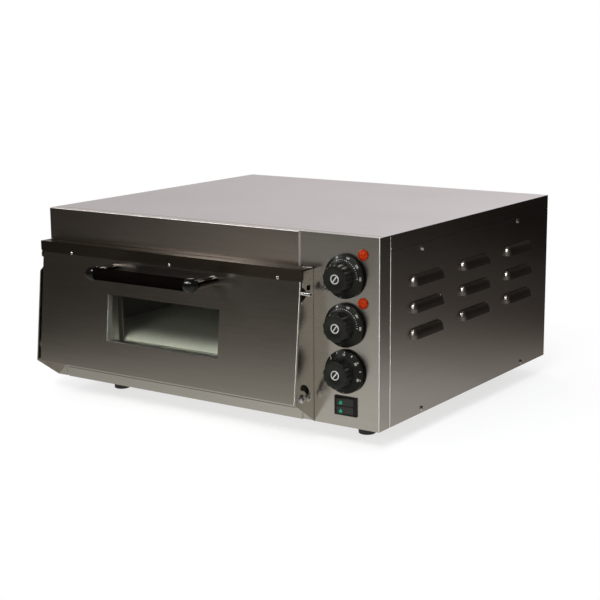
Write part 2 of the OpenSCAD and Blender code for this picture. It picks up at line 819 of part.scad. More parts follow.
// The loom: from the terminal block to an upright behind the controls, with a branch to each
module wiring() {
    x_block = gland_x + 20;
    y_block = block_y + block_l / 2;
    z_top = lamp_heights()[0];
    color("dimgray") {
        rod_z(sheet_t + block_h, wire_z, x_block, y_block, wire_d);
        rod_x(x_block, wire_x, y_block, wire_z, wire_d);
        rod_y(wire_y, y_block, wire_x, wire_z, wire_d);
        rod_z(switch_z, z_top, wire_x, wire_y, wire_d);
        for (p = [[x_block, y_block, wire_z], [wire_x, y_block, wire_z], [wire_x, wire_y, switch_z], [wire_x, wire_y, z_top]])
            translate(p) sphere(d = wire_d);
        for (i = [0:2]) branch(knob_x, knob_heights[i], sheet_t + housing_depths[i]);
        for (z = lamp_heights()) branch(lamp_x, z, lamp_back);
        branch(switch_x, switch_z, switch_back);
    }
}

module cable_gland() {
    color("#303030") difference() {
        union() {
            translate([gland_x, body_d, gland_z]) rotate([-90, 0, 0]) cylinder(h = 5, d = gland_thread + 8, $fn = 6);
            rod_y(body_d + 5 - EPS, body_d + gland_l, gland_x, gland_z, gland_thread + 5);
            rod_y(y_rear - 9, body_d + EPS, gland_x, gland_z, gland_thread);
            translate([gland_x, y_rear - 5, gland_z]) rotate([-90, 0, 0])
                cylinder(h = 5, d = gland_thread + 8, $fn = 6);
        }
        rod_y(y_rear - 10, body_d + gland_l + 1, gland_x, gland_z, gland_bore);
    }
}

module earth_stud() {
    color("goldenrod") {
        rod_y(y_rear - 8, body_d + 11, stud_x, gland_z, pivot_d);
        translate([stud_x, body_d, gland_z]) rotate([-90, 0, 0]) cylinder(h = 4, d = 9, $fn = 6);
        translate([stud_x, y_rear - 4, gland_z]) rotate([-90, 0, 0]) cylinder(h = 4, d = 9, $fn = 6);
    }
}

// ---- feet and screws ----
module foot(place) {
    r = foot_d / 2;
    round_r = 1.6;
    hole = pivot_d / 2 + play;
    profile = concat(
        [[hole, 0], [r, 0], [r - 0.8, -foot_h + round_r]],
        [for (i = [1:5]) [r - 0.8 - round_r * (1 - cos(i * 18)), -foot_h + round_r - round_r * sin(i * 18)]],
        [[hole + 3, -foot_h], [hole + 3, -foot_h + 7], [hole, -foot_h + 7]]
    );
    color("#181818") translate([place[0], place[1], 0]) rotate_extrude() polygon(profile);
}

module foot_screws() {
    color("silver") for (p = foot_places()) {
        rod_z(-foot_h + 7 - 3, -foot_h + 7, p[0], p[1], pivot_d + 4);
        rod_z(-foot_h + 7 - EPS, sheet_t + 5, p[0], p[1], pivot_d);
        translate([p[0], p[1], sheet_t]) cylinder(h = 3.5, d = pivot_d + 4, $fn = 6);
    }
}

// A pan head with a cross recess that rests on the plane z = 0
module pan_head(d, h) {
    difference() {
        union() {
            cylinder(h = h * 0.45, d = d);
            translate([0, 0, h * 0.45 - EPS]) cylinder(h = h * 0.55 + EPS, d1 = d, d2 = d * 0.55);
        }
        for (a = [0, 90]) rotate([0, 0, a]) translate([-d * 0.22, -d * 0.055, h * 0.4])
            cube([d * 0.44, d * 0.11, h]);
    }
}

// A pan-head screw whose shank points down from the plane z = 0
module pan_screw(length) {
    pan_head(head_d, head_h);
    translate([0, 0, -length]) cylinder(h = length + EPS, d = screw_d);
}

module panel_screws() {
    color("silver") {
        for (side = [-1, 1]) {
            for (y = side_screw_y[0])
                translate([side * x_right, y, z_top_screw]) rotate([0, side * 90, 0]) pan_screw(screw_l);
            for (y = side_screw_y[1])
                translate([side * x_right, y, z_low_screw]) rotate([0, side * 90, 0]) pan_screw(screw_l);
            for (z = [z_low_screw, z_top_screw])
                translate([side * rear_screw_x, body_d, z]) rotate([-90, 0, 0]) pan_screw(screw_l);
        }
    }
}

// Hinge screws: head outside the cheek, shank through cheek and door, nut inside the door
module hinge_screws() {
    grip = cheek_t + door_gap + door_t;
    color("silver") for (side = [-1, 1]) {
        x = side < 0 ? x_left : x_cheek;
        translate([x, -pivot_y, pivot_z]) rotate([0, side * 90, 0]) {
            pan_head(hinge_head_d, 2.4);
            translate([0, 0, -grip - 6]) cylinder(h = grip + 6 + EPS, d = pivot_d);
            translate([0, 0, -grip - 4 - nut_gap]) cylinder(h = 4, d = pivot_d + 4, $fn = 6);
        }
    }
}

// ---- door ----
// The tunnel that the window's light passes through, widened all round by grow
module window_tunnel(grow, y0, y1) {
    on_skin() box(window_x0 - grow, window_x0 + window_w + grow, y0, y1, window_up - grow, window_up + window_h + grow);
}

module door_side_outline() {
    polygon([
        [skin_y(door_low) + door_t / 2, door_low], [-door_air, door_low],
        [-door_air, door_top - 0.8], [skin_y(door_top) + door_t / 2, door_top - 0.8]
    ]);
}

// Holes, along the posts' axes, from one depth to another
module at_posts(y0, y1, d) {
    for (side = [-1, 1]) rod_y(y0, y1, door_xm + side * post_x, handle_z, d);
}

module rivet_places() {
    first = rail_x0 + rivet_start;
    last = rail_x1 - rivet_stop;
    for (x = [first, (first + last) / 2, last]) translate([x, rail_front, rivet_z]) children();
}

module door_skin() {
    tab_y = rail_front + door_t + 0.1;
    color("#5a5650") difference() {
        union() {
            on_skin() box(door_x0, door_x1, 0, door_t, 0, skin_l);
            plate_yz(door_x0, door_t) door_side_outline();
            plate_yz(door_x1 - door_t, door_t) door_side_outline();
            box(door_x0, door_x1, skin_y(door_low) + door_t / 2, -door_air, door_low, door_low + door_t);
            box(door_x0 + 8, door_x1 - 8, tab_y, tab_y + door_t, door_top - 3, door_top + 6);
        }
        window_tunnel(0, -5, 5);
        for (x = [door_x0, door_x1]) {
            rod_x(x - 3, x + 3, -pivot_y, pivot_z, pivot_d + 2 * play);
            rod_x(x - 3, x + 3, limit_pos[0], limit_pos[1], limit_d + 2 * play);
        }
        rod_x(door_x1 - 3, door_x1 + 3, -latch_y, latch_z, screw_d + 2 * play);
        at_posts(post_y - 2, post_y + 3, screw_d + 2 * play);
        rivet_places() rotate([-90, 0, 0]) cylinder(h = 6, d = 3.2);
    }
}

module door_inner_panel() {
    bx0 = cx0 + boss_gap;
    bx1 = cx1 - boss_gap;
    bz0 = mouth_low + boss_gap;
    bz1 = chamber_top - boss_gap;
    t = door_t;
    color("silver") difference() {
        union() {
            box(door_x0 + t + 0.2, door_x1 - t - 0.2, inner_y, inner_y + t, door_low + t + 0.1, door_top - 0.4);
            box(bx0, bx1, inner_y, boss_d, bz0, bz1);
        }
        box(bx0 + t, bx1 - t, inner_y - 1, boss_d - t, bz0 + t, bz1 - t);
        window_tunnel(inner_sight, 5, 60);
    }
}

module door_top_rail() {
    t = door_t;
    corner = 4;
    color("#4a4640") difference() {
        union() {
            box(rail_x0, rail_x1, rail_front, rail_front + t, door_top + corner, rail_top);
            box(rail_x0 + corner, rail_x1 - corner, rail_front, rail_front + t, door_top, rail_top);
            for (x = [rail_x0 + corner, rail_x1 - corner])
                rod_y(rail_front, rail_front + t, x, door_top + corner, 2 * corner);
            box(rail_x0, rail_x1, rail_front, rail_back, rail_top - t, rail_top);
            box(door_x0 + t, door_x1 - t, rail_back - t, rail_back, door_top, rail_top);
        }
        rivet_places() rotate([-90, 0, 0]) translate([0, 0, -1]) cylinder(h = 6, d = 3.2);
    }
}

module rail_rivets() {
    color("white") rivet_places() {
        intersection() {
            translate([0, 1, 0]) sphere(r = 2.3);
            translate([-3, -3, -3]) cube([6, 3, 6]);
        }
        rotate([-90, 0, 0]) translate([0, 0, -EPS]) cylinder(h = 3, d = 3);
    }
}

module window_frame() {
    color("gray") difference() {
        window_tunnel(glass_edge, door_t, recess_d);
        window_tunnel(0, door_t - 1, recess_d + 1);
    }
}

module window_glass() {
    color([0.6, 0.75, 0.75, 0.35]) window_tunnel(glass_edge, recess_d, recess_d + glass_t);
}

module window_retainer() {
    color("gray") difference() {
        window_tunnel(glass_edge, recess_d + glass_t, 60);
        window_tunnel(inner_sight, recess_d, 61);
        box(door_x0, door_x1, inner_y, 60, 0, body_h);
    }
}

module door_insulation() {
    edge = 14;
    color("khaki") difference() {
        intersection() {
            on_skin() box(door_x0 + edge, door_x1 - edge, door_t + 0.6, 60, edge, skin_l - edge);
            box(door_x0, door_x1, -60, inner_y - 0.6, 0, body_h);
        }
        window_tunnel(glass_edge + 0.6, 0, 61);
        at_posts(post_y, post_y + 12, head_d + 2);
    }
}

module handle_grip() {
    color("#101010") rod_x(door_xm - grip_half, door_xm + grip_half, -handle_y, handle_z, grip_d);
}

// A cap whose rounded end is a quarter of an ellipse on a straight skirt
module handle_cap() {
    r = cap_d / 2;
    dome = r * 0.8;
    rotate_extrude() polygon(concat(
        [[0, 0], [r, 0]],
        [for (i = [0:4]) [r * cos(i * 18), cap_l - dome + dome * sin(i * 18)]],
        [[0, cap_l]]
    ));
}

module handle_caps() {
    color("#181818") difference() {
        for (side = [-1, 1])
            translate([door_xm + side * grip_half, -handle_y, handle_z]) rotate([0, side * 90, 0]) handle_cap();
        at_posts(-handle_y - stud_l, -handle_y + cap_d, screw_d + 2 * play);
    }
}

// Posts stand on the skin, saddle the caps' backs and are held by a stud at each end
module handle_posts() {
    color("gainsboro") {
        difference() {
            at_posts(-handle_y, -door_air, post_d);
            rod_x(door_x0, door_x1, -handle_y, handle_z, cap_d);
            on_skin() box(door_x0, door_x1, 0, 60, 0, 2 * skin_l);
        }
        at_posts(-handle_y - stud_l + 0.5, -handle_y + cap_d / 2 + 1, screw_d);
        at_posts(post_y - 1, post_y + door_t + 4, screw_d);
        at_posts(post_y + door_t + head_d / 2 * slope + 0.05, post_y + door_t + head_d / 2 * slope + 3, head_d);
    }
}

// Limit screws turn with the door and run in the cheeks' slots
module limit_screws() {
    color("silver") for (side = [-1, 1]) {
        x = side < 0 ? x_left - seam : x_cheek + seam;
        reach = cheek_t + door_gap + door_t + seam;
        translate([x, limit_pos[0], limit_pos[1]]) rotate([0, side * 90, 0]) {
            pan_head(hinge_head_d, head_h);
            translate([0, 0, -reach - 4]) cylinder(h = reach + 4 + EPS, d = limit_d);
            translate([0, 0, -reach - 3.2]) cylinder(h = 3.2, d = limit_d + 3, $fn = 6);
            translate([0, 0, -reach + door_t]) cylinder(h = door_gap - 0.4, d = limit_d + 2);
        }
    }
}

module latch_pin() {
    x1 = x_cheek + latch_reach;
    color("silver") {
        rod_x(door_x1, x1, -latch_y, latch_z, latch_d);
        rod_x(door_x1 - door_t - 3, door_x1 + EPS, -latch_y, latch_z, screw_d);
        translate([x1 - EPS, -latch_y, latch_z]) rotate([0, 90, 0]) {
            cylinder(h = latch_flare, d1 = latch_d, d2 = head_d);
            translate([0, 0, latch_flare - EPS]) difference() {
                cylinder(h = latch_head_l, d = head_d);
                translate([0, 0, latch_head_l / 2]) cylinder(h = latch_head_l, d = screw_d, $fn = 6);
            }
        }
    }
}

// ---- dials ----
module dial_knob(z) {
    r = knob_d / 2;
    g = knob_grip_d / 2;
    l = knob_reach;
    b = -knob_back;
    color("#141414") translate([knob_x, 0, z]) rotate([90, 0, 0]) difference() {
        rotate_extrude($fn = 96) polygon([
            [0, b], [r, b], [r, b + 1.6], [r - 0.8, b + 2.6], [g + 1.6, b + 5.4], [g, b + 6.6],
            [g - 1, l - 2.6], [g - 1.7, l - 1], [g - 3, l - 0.2], [g - 4, l], [8.6, l], [8, l - 0.5],
            [0, l - 0.5]
        ]);
        for (i = [0 : flutes - 1]) rotate([0, 0, i * 360 / flutes])
            translate([g + 1.8, 0, b + 6.6]) rotate([0, -3, 0]) cylinder(h = l, r = 3);
        translate([0, 0, b - 1]) cylinder(h = 7, d = bush_d + 6);
        cylinder(h = l - 6, d = shaft_d + 0.06);
    }
}

module upper_knob() {
    dial_knob(knob_heights[0]);
}

module lower_knob() {
    dial_knob(knob_heights[1]);
}

module timer_knob() {
    dial_knob(knob_heights[2]);
}

module dial_shaft(z) {
    color("silver") rod_y(-knob_reach + 6.5, shaft_in, knob_x, z, shaft_d);
}

module upper_shaft() {
    dial_shaft(knob_heights[0]);
}

module lower_shaft() {
    dial_shaft(knob_heights[1]);
}

module timer_shaft() {
    dial_shaft(knob_heights[2]);
}

at_casing() base_pan();
at_casing() rear_panel();
at_casing() left_side_panel();
at_casing() right_side_panel();
at_casing() top_cover();
at_casing() fascia();
at_casing() control_panel();
at_casing() left_hinge_post();
at_casing() front_frame();
at_casing() heat_shield();
at_casing() chamber_liner();
at_casing() baking_stone();
at_casing() stone_rails();
at_casing() upper_element();
at_casing() lower_element();
at_casing() element_brackets();
at_casing() top_insulation();
at_casing() bottom_insulation();
at_casing() side_insulation();
at_casing() rear_insulation();
at_casing() upper_thermostat();
at_casing() lower_thermostat();
at_casing() timer();
at_casing() safety_cutout();
at_casing() upper_lamp();
at_casing() lower_lamp();
at_casing() switch_body();
at_casing() terminal_block();
at_casing() wiring();
at_casing() cable_gland();
at_casing() earth_stud();
at_casing() foot(foot_places()[0]);  // foot_front_left
at_casing() foot(foot_places()[2]);  // foot_front_right
at_casing() foot(foot_places()[1]);  // foot_rear_left
at_casing() foot(foot_places()[3]);  // foot_rear_right
at_casing() foot_screws();
at_casing() panel_screws();
at_casing() hinge_screws();
at_casing() door_skin();
at_casing() door_inner_panel();
at_casing() door_top_rail();
at_casing() rail_rivets();
at_casing() window_frame();
at_casing() window_glass();
at_casing() window_retainer();
at_casing() door_insulation();
at_casing() handle_grip();
at_casing() handle_caps();
at_casing() handle_posts();
at_casing() limit_screws();
at_casing() latch_pin();
at_casing() upper_knob();
at_casing() lower_knob();
at_casing() timer_knob();
at_casing() upper_shaft();
at_casing() lower_shaft();
at_casing() timer_shaft();
at_casing() upper_rocker();
at_casing() lower_rocker();
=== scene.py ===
# %% [markdown]
# # A countertop pizza oven, dressed in Blender
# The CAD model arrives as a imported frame: every sheet, screw and dial stands where it belongs.
# This script gives those solids their finishes, models the visible pieces that need softer
# shapes, and sets the camera and the studio so that the picture matches the photograph.

# %% Loading the frame
import json
import math
import bmesh
import bpy
from mathutils import Matrix, Vector
from mathutils.bvhtree import BVHTree

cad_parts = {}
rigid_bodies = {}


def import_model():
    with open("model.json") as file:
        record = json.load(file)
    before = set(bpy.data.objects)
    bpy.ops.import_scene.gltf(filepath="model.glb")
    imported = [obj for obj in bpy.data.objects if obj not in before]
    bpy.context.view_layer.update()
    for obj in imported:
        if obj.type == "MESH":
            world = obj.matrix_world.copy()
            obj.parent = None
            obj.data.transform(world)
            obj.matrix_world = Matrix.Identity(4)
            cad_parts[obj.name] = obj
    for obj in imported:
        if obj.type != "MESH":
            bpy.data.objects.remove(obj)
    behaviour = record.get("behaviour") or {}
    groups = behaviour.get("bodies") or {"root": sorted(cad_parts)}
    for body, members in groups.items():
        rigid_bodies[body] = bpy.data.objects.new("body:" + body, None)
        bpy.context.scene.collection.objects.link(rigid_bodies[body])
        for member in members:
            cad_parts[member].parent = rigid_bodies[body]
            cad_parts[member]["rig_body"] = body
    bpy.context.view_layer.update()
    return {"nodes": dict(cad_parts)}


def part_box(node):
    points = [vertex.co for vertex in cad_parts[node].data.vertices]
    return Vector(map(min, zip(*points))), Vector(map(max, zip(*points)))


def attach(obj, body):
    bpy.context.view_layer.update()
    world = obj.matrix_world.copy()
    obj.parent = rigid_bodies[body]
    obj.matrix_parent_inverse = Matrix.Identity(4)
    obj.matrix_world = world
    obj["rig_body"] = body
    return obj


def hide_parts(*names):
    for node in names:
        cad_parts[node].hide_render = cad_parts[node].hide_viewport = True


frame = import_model()
nodes = frame["nodes"]

# %% [markdown]
# ## One drawing for all places
# The oven was drawn in millimetres from the middle of its front plane at the casing's underside.
# Two CAD nodes tell where that corner lies in the frame, so no place is typed twice.

# %% The casing's own drawing
MM = 0.001
CASING_DEPTH = 497
front_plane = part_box("rear_panel")[1].y - CASING_DEPTH * MM
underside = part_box("base_pan")[0].z


def at(x, y, z):
    """A point of the casing's drawing, in millimetres, as a place in the frame."""
    return Vector((x * MM, y * MM + front_plane, z * MM + underside))


print("front plane at y =", round(front_plane, 4), "underside at z =", round(underside, 4))

# %% [markdown]
# ## The camera
# The camera was solved from sixteen corners of the casing in the photograph. It stands to the
# right of the door and a little above, and its long lens keeps the edges nearly parallel.

# %% Camera
CAMERA_AT = at(1161.8, -1464.6, 521.3)
YAW, PITCH, ROLL = (math.radians(a) for a in (34.39, 11.51, -0.45))
FOCAL_PX = 1392.5
FRAME_PX = 600
SENSOR = 36.0

scene = bpy.context.scene
camera_data = bpy.data.cameras.new("camera")
camera_data.sensor_fit = "AUTO"
camera_data.sensor_width = SENSOR
camera_data.lens = FOCAL_PX / FRAME_PX * SENSOR
camera = bpy.data.objects.new("camera", camera_data)
scene.collection.objects.link(camera)
forward = Vector((-math.sin(YAW) * math.cos(PITCH), math.cos(YAW) * math.cos(PITCH), -math.sin(PITCH)))
level = Vector((math.cos(YAW), math.sin(YAW), 0))
upright = level.cross(forward)
right = math.cos(ROLL) * level + math.sin(ROLL) * upright
up = -math.sin(ROLL) * level + math.cos(ROLL) * upright
turn = Matrix((right, up, -forward)).transposed()
camera.matrix_world = Matrix.Translation(CAMERA_AT) @ turn.to_4x4()
scene.camera = camera
print("camera stands", round((CAMERA_AT - at(0, 0, 125)).length, 2), "m from the door")

# %% [markdown]
# ## Node helpers
# Every finish is built from shader nodes. They could be added one by one and linked afterwards,
# but that hides what a finish is made of. Short helpers keep it readable: one adds a node and
# fills its sockets, one starts a material with one Principled shader, and the others give the
# few nodes that most finishes need.

# %% Node helpers


def node(tree, kind, inputs=None, **settings):
    """A new shader node with its settings and the values or links of its inputs."""
    made = tree.nodes.new(kind)
    for key, value in settings.items():
        setattr(made, key, value)
    for key, value in (inputs or {}).items():
        if isinstance(value, bpy.types.NodeSocket):
            tree.links.new(value, made.inputs[key])
        else:
            made.inputs[key].default_value = value
    return made


def material(name, **values):
    """A material with one Principled shader whose plain values are set on its own sockets."""
    made = bpy.data.materials.new(name)
    made.use_nodes = True
    tree = made.node_tree
    tree.nodes.clear()
    shader = node(tree, "ShaderNodeBsdfPrincipled", values)
    out = node(tree, "ShaderNodeOutputMaterial", {"Surface": shader.outputs[0]})
    return made, tree, shader, out


def object_coords(tree, scale=(1, 1, 1), turned=(0, 0, 0)):
    """Object coordinates, stretched and turned, so that a pattern stays on the piece."""
    coords = node(tree, "ShaderNodeTexCoord")
    return node(tree, "ShaderNodeMapping", {"Vector": coords.outputs["Object"], "Scale": scale,
                                            "Rotation": turned}).outputs[0]


def shades(tree, value, dark, light, low=0.3, high=0.7):
    """A colour ramp between two colours."""
    ramp = node(tree, "ShaderNodeValToRGB", {"Fac": value})
    ramp.color_ramp.elements[0].position = low
    ramp.color_ramp.elements[1].position = high
    ramp.color_ramp.elements[0].color = (*dark, 1)
    ramp.color_ramp.elements[1].color = (*light, 1)
    return ramp.outputs[0]


def spread(tree, value, low, high):
    """A value from 0 to 1, spread between two others."""
    return node(tree, "ShaderNodeMapRange", {"Value": value, "To Min": low, "To Max": high}).outputs[0]


def maths(tree, operation, *values):
    """One Math node."""
    return node(tree, "ShaderNodeMath", dict(enumerate(values)), operation=operation).outputs[0]


def blended(tree, kind, share, first, second):
    """Two colours mixed by a blend type."""
    return node(tree, "ShaderNodeMix", {0: share, 6: first, 7: second}, data_type="RGBA",
                blend_type=kind).outputs[2]


print("materials before any finish:", len(bpy.data.materials))

# %% [markdown]
# ## Effects that several finishes share
# An effect that returns in many finishes is a node group, built once and placed in each material
# with its own values. Brushed steel shows two things: hair-fine scratches that all run one way,
# and broad, faint bands where the belt pressed harder. The first group makes both from noise
# that the material stretches along the scratches.

# %% The brushing group


def group(name, inputs, outputs):
    """An empty shader node group with named inputs and outputs."""
    tree = bpy.data.node_groups.new(name, "ShaderNodeTree")
    for label, kind, value in inputs:
        socket = tree.interface.new_socket(label, in_out="INPUT", socket_type=kind)
        if value is not None:
            socket.default_value = value
    for label, kind in outputs:
        tree.interface.new_socket(label, in_out="OUTPUT", socket_type=kind)
    return tree, tree.nodes.new("NodeGroupInput"), tree.nodes.new("NodeGroupOutput")


def use(tree, what, **inputs):
    """A shared group placed in a material."""
    return node(tree, "ShaderNodeGroup", inputs, node_tree=what).outputs


VEC, NUM = "NodeSocketVector", "NodeSocketFloat"

brushing, g_in, g_out = group("brushing", [("Vector", VEC, None), ("Depth", NUM, 0.2)],
                              [("Streaks", NUM), ("Bands", NUM), ("Normal", VEC)])
hair = node(brushing, "ShaderNodeTexNoise", {"Vector": g_in.outputs["Vector"], "Scale": 1.0,
                                             "Detail": 5.0, "Roughness": 0.75})
wide = node(brushing, "ShaderNodeVectorMath", {0: g_in.outputs["Vector"], 1: (0.35, 0.06, 0.06)},
            operation="MULTIPLY")
bands = node(brushing, "ShaderNodeTexNoise", {"Vector": wide.outputs[0], "Scale": 1.0, "Detail": 2.0})
scratch = node(brushing, "ShaderNodeBump", {"Height": hair.outputs["Fac"],
                                            "Strength": g_in.outputs["Depth"], "Distance": 0.00004})
for label, socket in (("Streaks", hair.outputs["Fac"]), ("Bands", bands.outputs["Fac"]),
                      ("Normal", scratch.outputs[0])):
    brushing.links.new(socket, g_out.inputs[label])
print("group", brushing.name, "has", len(brushing.nodes), "nodes")

# %% [markdown]
# ## Handling and moulding
# Wiping, hands and heat leave slow, cloudy changes on a surface, and moulded plastic and rubber
# have a fine grain. Each is one noise: a large soft one for the clouds, a small one that also
# feeds a bump for the grain.

# %% The handling and moulding groups
handling, g_in, g_out = group("handling", [("Vector", VEC, None), ("Size", NUM, 6.0)], [("Mask", NUM)])
cloud = node(handling, "ShaderNodeTexNoise", {"Vector": g_in.outputs["Vector"], "Detail": 4.0,
                                              "Scale": g_in.outputs["Size"], "Roughness": 0.6,
                                              "Distortion": 0.4})
handling.links.new(cloud.outputs["Fac"], g_out.inputs["Mask"])

moulding, g_in, g_out = group("moulding", [("Vector", VEC, None), ("Size", NUM, 900.0),
                                           ("Depth", NUM, 0.15)], [("Grain", NUM), ("Normal", VEC)])
pores = node(moulding, "ShaderNodeTexNoise", {"Vector": g_in.outputs["Vector"],
                                              "Scale": g_in.outputs["Size"], "Detail": 3.0})
pitted = node(moulding, "ShaderNodeBump", {"Height": pores.outputs["Fac"],
                                           "Strength": g_in.outputs["Depth"], "Distance": 0.0001})
moulding.links.new(pores.outputs["Fac"], g_out.inputs["Grain"])
moulding.links.new(pitted.outputs[0], g_out.inputs["Normal"])
print("shared groups:", [g.name for g in bpy.data.node_groups])

# %% [markdown]
# ## Steel
# All the casing is the same stainless sheet, but each piece was brushed along its own length and some are
# smoother than others. Their colours differ as well, lightest on the top and darkest on the door: this is
# partly painted light and shade for how each side faces the lamps. One function makes them all: it takes the
# colour, how blurred the reflections are and the axis along which the scratches run. Anisotropy smears a
# reflection across the scratches, as fine parallel scratches do.

# %% The steel recipe
SCRATCHES_ACROSS, SCRATCHES_ALONG = 1800.0, 12.0


def steel(name, colour, rough, along, depth=0.12, contrast=0.08, smear=0.0, metal=1.0):
    """Brushed stainless steel whose scratches run along one axis and smear reflections across it."""
    made, tree, shader, _ = material(name, **{"Metallic": metal, "Anisotropic": smear,
                                              "Anisotropic Rotation": 0.25})
    fine = [SCRATCHES_ACROSS] * 3
    fine["xyz".index(along)] = SCRATCHES_ALONG
    grain = use(tree, brushing, Vector=object_coords(tree, fine), Depth=depth)
    dark = [c * (1 - contrast) for c in colour]
    light = [min(1.0, c * (1 + contrast)) for c in colour]
    tint = shades(tree, grain["Streaks"], dark, light)
    cloudy = use(tree, handling, Vector=object_coords(tree), Size=5.0)["Mask"]
    tone = blended(tree, "MIX", spread(tree, grain["Bands"], 0.0, 0.35), tint,
                   (*[c * 0.86 for c in colour], 1))
    polish = maths(tree, "ADD", spread(tree, grain["Streaks"], rough - 0.05, rough + 0.07),
                   spread(tree, cloudy, -0.03, 0.04))
    tree.links.new(tone, shader.inputs["Base Color"])
    tree.links.new(polish, shader.inputs["Roughness"])
    tree.links.new(grain["Normal"], shader.inputs["Normal"])
    return made


# Lit and shaded copies of one stainless steel: their tones partly paint light and shade in.
top_steel = steel("top_steel", (0.76, 0.725, 0.725), 0.30, "x")
side_steel = steel("side_steel", (0.645, 0.59, 0.55), 0.22, "y", smear=0.55)
rear_steel = steel("rear_steel", (0.62, 0.595, 0.575), 0.26, "x", smear=0.4)
front_steel = steel("front_steel", (0.60, 0.54, 0.48), 0.17, "x", smear=0.5)
panel_steel = steel("panel_steel", (0.60, 0.565, 0.52), 0.22, "x", smear=0.5)
door_steel = steel("door_steel", (0.50, 0.455, 0.405), 0.17, "x", smear=0.5)
rail_steel = steel("rail_steel", (0.078, 0.062, 0.047), 0.34, "x", smear=0.4)
chamber_steel = steel("chamber_steel", (0.46, 0.45, 0.43), 0.34, "y")
bright_steel = steel("bright_steel", (0.78, 0.78, 0.78), 0.12, "x", depth=0.08, contrast=0.03)
post_steel = steel("post_steel", (0.045, 0.04, 0.036), 0.14, "x", depth=0.05, contrast=0.03)
print("materials with steel:", len(bpy.data.materials))

# %% [markdown]
# ## Painted highlights and shade on folds, creases and cut edges
# The rounded folds catch the light, so they get paler and duller finishes that paint that highlight in. Seams
# between sheets, the gap beside the door and the recesses of screw heads get dark finishes that paint their
# shade in, and the louvers get a darker steel, also painted shade. They could be painted by a mask, but each
# lies on faces of its own, so each gets a plain finish of its own with the scratches nearly gone.

# %% Finishes of folds and edges
# Painted shade in the seams and in the shadow lines under the top cover's lips.
shaded_crease = steel("shaded_crease", (0.16, 0.15, 0.14), 0.4, "z", depth=0.05)
# Painted highlights on folds and cut edges, in three strengths.
highlit_fold = steel("highlit_fold", (0.58, 0.545, 0.52), 0.42, "z", depth=0.05, contrast=0.03, metal=0.35)
bright_highlit_edge = steel("bright_highlit_edge", (0.95, 0.91, 0.88), 0.42, "z", depth=0.05, contrast=0.03, metal=0.35)
shaded_louver = steel("shaded_louver", (0.47, 0.43, 0.40), 0.32, "y", smear=0.3)
faint_highlit_edge = steel("faint_highlit_edge", (0.52, 0.485, 0.455), 0.42, "z", depth=0.05, contrast=0.03, metal=0.35)
frame_steel = steel("frame_steel", (0.15, 0.145, 0.125), 0.32, "z", depth=0.05, contrast=0.03, metal=0.4)
# Painted shade for screw recesses and for the gap between the door and the cheek.
shaded_gap = steel("shaded_gap", (0.035, 0.03, 0.025), 0.5, "z", depth=0.05, metal=0.6)
print("materials with folds and edges:", len(bpy.data.materials))

# %% [markdown]
# ## Plastics, rubber and ceramic
# The dials and the handle are black, but not alike: the handle's tube is matt, its caps are
# polished, the dials are satin and the feet are dull rubber. They differ only in colour, gloss
# and grain, so one recipe makes them all.

# %% Moulded finishes


def moulded(name, colour, rough, size=900.0, depth=0.12, gloss=0.5, vary=0.2):
    """Moulded plastic, rubber or ceramic: fine grain and a slightly uneven gloss."""
    made, tree, shader, _ = material(name, **{"Specular IOR Level": gloss})
    where = object_coords(tree)
    grain = use(tree, moulding, Vector=where, Size=size, Depth=depth)
    cloudy = use(tree, handling, Vector=where, Size=25.0)["Mask"]
    tint = shades(tree, cloudy, [c * (1 - vary) for c in colour], [c * (1 + vary) for c in colour])
    tree.links.new(tint, shader.inputs["Base Color"])
    tree.links.new(spread(tree, cloudy, rough * 0.85, rough * 1.2), shader.inputs["Roughness"])
    tree.links.new(grain["Normal"], shader.inputs["Normal"])
    return made


grip_black = moulded("grip_black", (0.0015, 0.001, 0.0007), 0.7, depth=0.06, gloss=0.005)
cap_black = moulded("cap_black", (0.003, 0.003, 0.0025), 0.05, depth=0.01, gloss=0.35)
dial_black = moulded("dial_black", (0.0065, 0.0065, 0.005), 0.3, depth=0.08, gloss=0.3)
skirt_black = moulded("skirt_black", (0.0075, 0.0075, 0.006), 0.3, depth=0.05, gloss=0.1)
rocker_black = moulded("rocker_black", (0.014, 0.014, 0.0125), 0.25, depth=0.04, gloss=0.35)
switch_black = moulded("switch_black", (0.005, 0.005, 0.0045), 0.22, depth=0.06, gloss=0.2)
gland_black = moulded("gland_black", (0.02, 0.02, 0.02), 0.42, depth=0.2)
foot_rubber = moulded("foot_rubber", (0.018, 0.018, 0.018), 0.6, size=1400.0, depth=0.3)
print_white = moulded("print_white", (0.46, 0.46, 0.43), 0.5, depth=0.05, vary=0.03)
case_brown = moulded("case_brown", (0.24, 0.13, 0.07), 0.45)
case_white = moulded("case_white", (0.75, 0.74, 0.70), 0.4, vary=0.05)
ceramic = moulded("ceramic", (0.74, 0.71, 0.64), 0.25, size=300.0, vary=0.06)
sleeve_grey = moulded("sleeve_grey", (0.16, 0.16, 0.16), 0.7, size=1800.0, depth=0.4)
rod_oxide = moulded("rod_oxide", (0.06, 0.055, 0.05), 0.5, size=600.0, depth=0.3)
mark_silver = moulded("mark_silver", (0.33, 0.33, 0.32), 0.3, depth=0.04, vary=0.05)
# Painted shade: a darker stone for the stone's front face, which lies in the door's shadow.
shaded_stone_front = moulded("shaded_stone_front", (0.25, 0.25, 0.215), 0.85, size=420.0, depth=0.4, gloss=0.05)
print("materials with plastics, rubber and ceramic:", len(bpy.data.materials))

# %% [markdown]
# ## Brass, stone and wool
# The earth stud at the back is brass, which tarnishes in clouds. The stone shows through the pane
# and with the door down: it is pale, with specks and with darker blotches where it was baked on.
# The mineral wool lies under the covers. It is a mat of flat fibres, so its noise is squeezed
# upward.

# %% Brass
brass, tree, shader, _ = material("brass", **{"Metallic": 1.0})
worn = use(tree, handling, Vector=object_coords(tree), Size=180.0)["Mask"]
tree.links.new(shades(tree, worn, (0.55, 0.38, 0.13), (0.80, 0.60, 0.28)), shader.inputs["Base Color"])
tree.links.new(spread(tree, worn, 0.2, 0.4), shader.inputs["Roughness"])
print("made", brass.name)

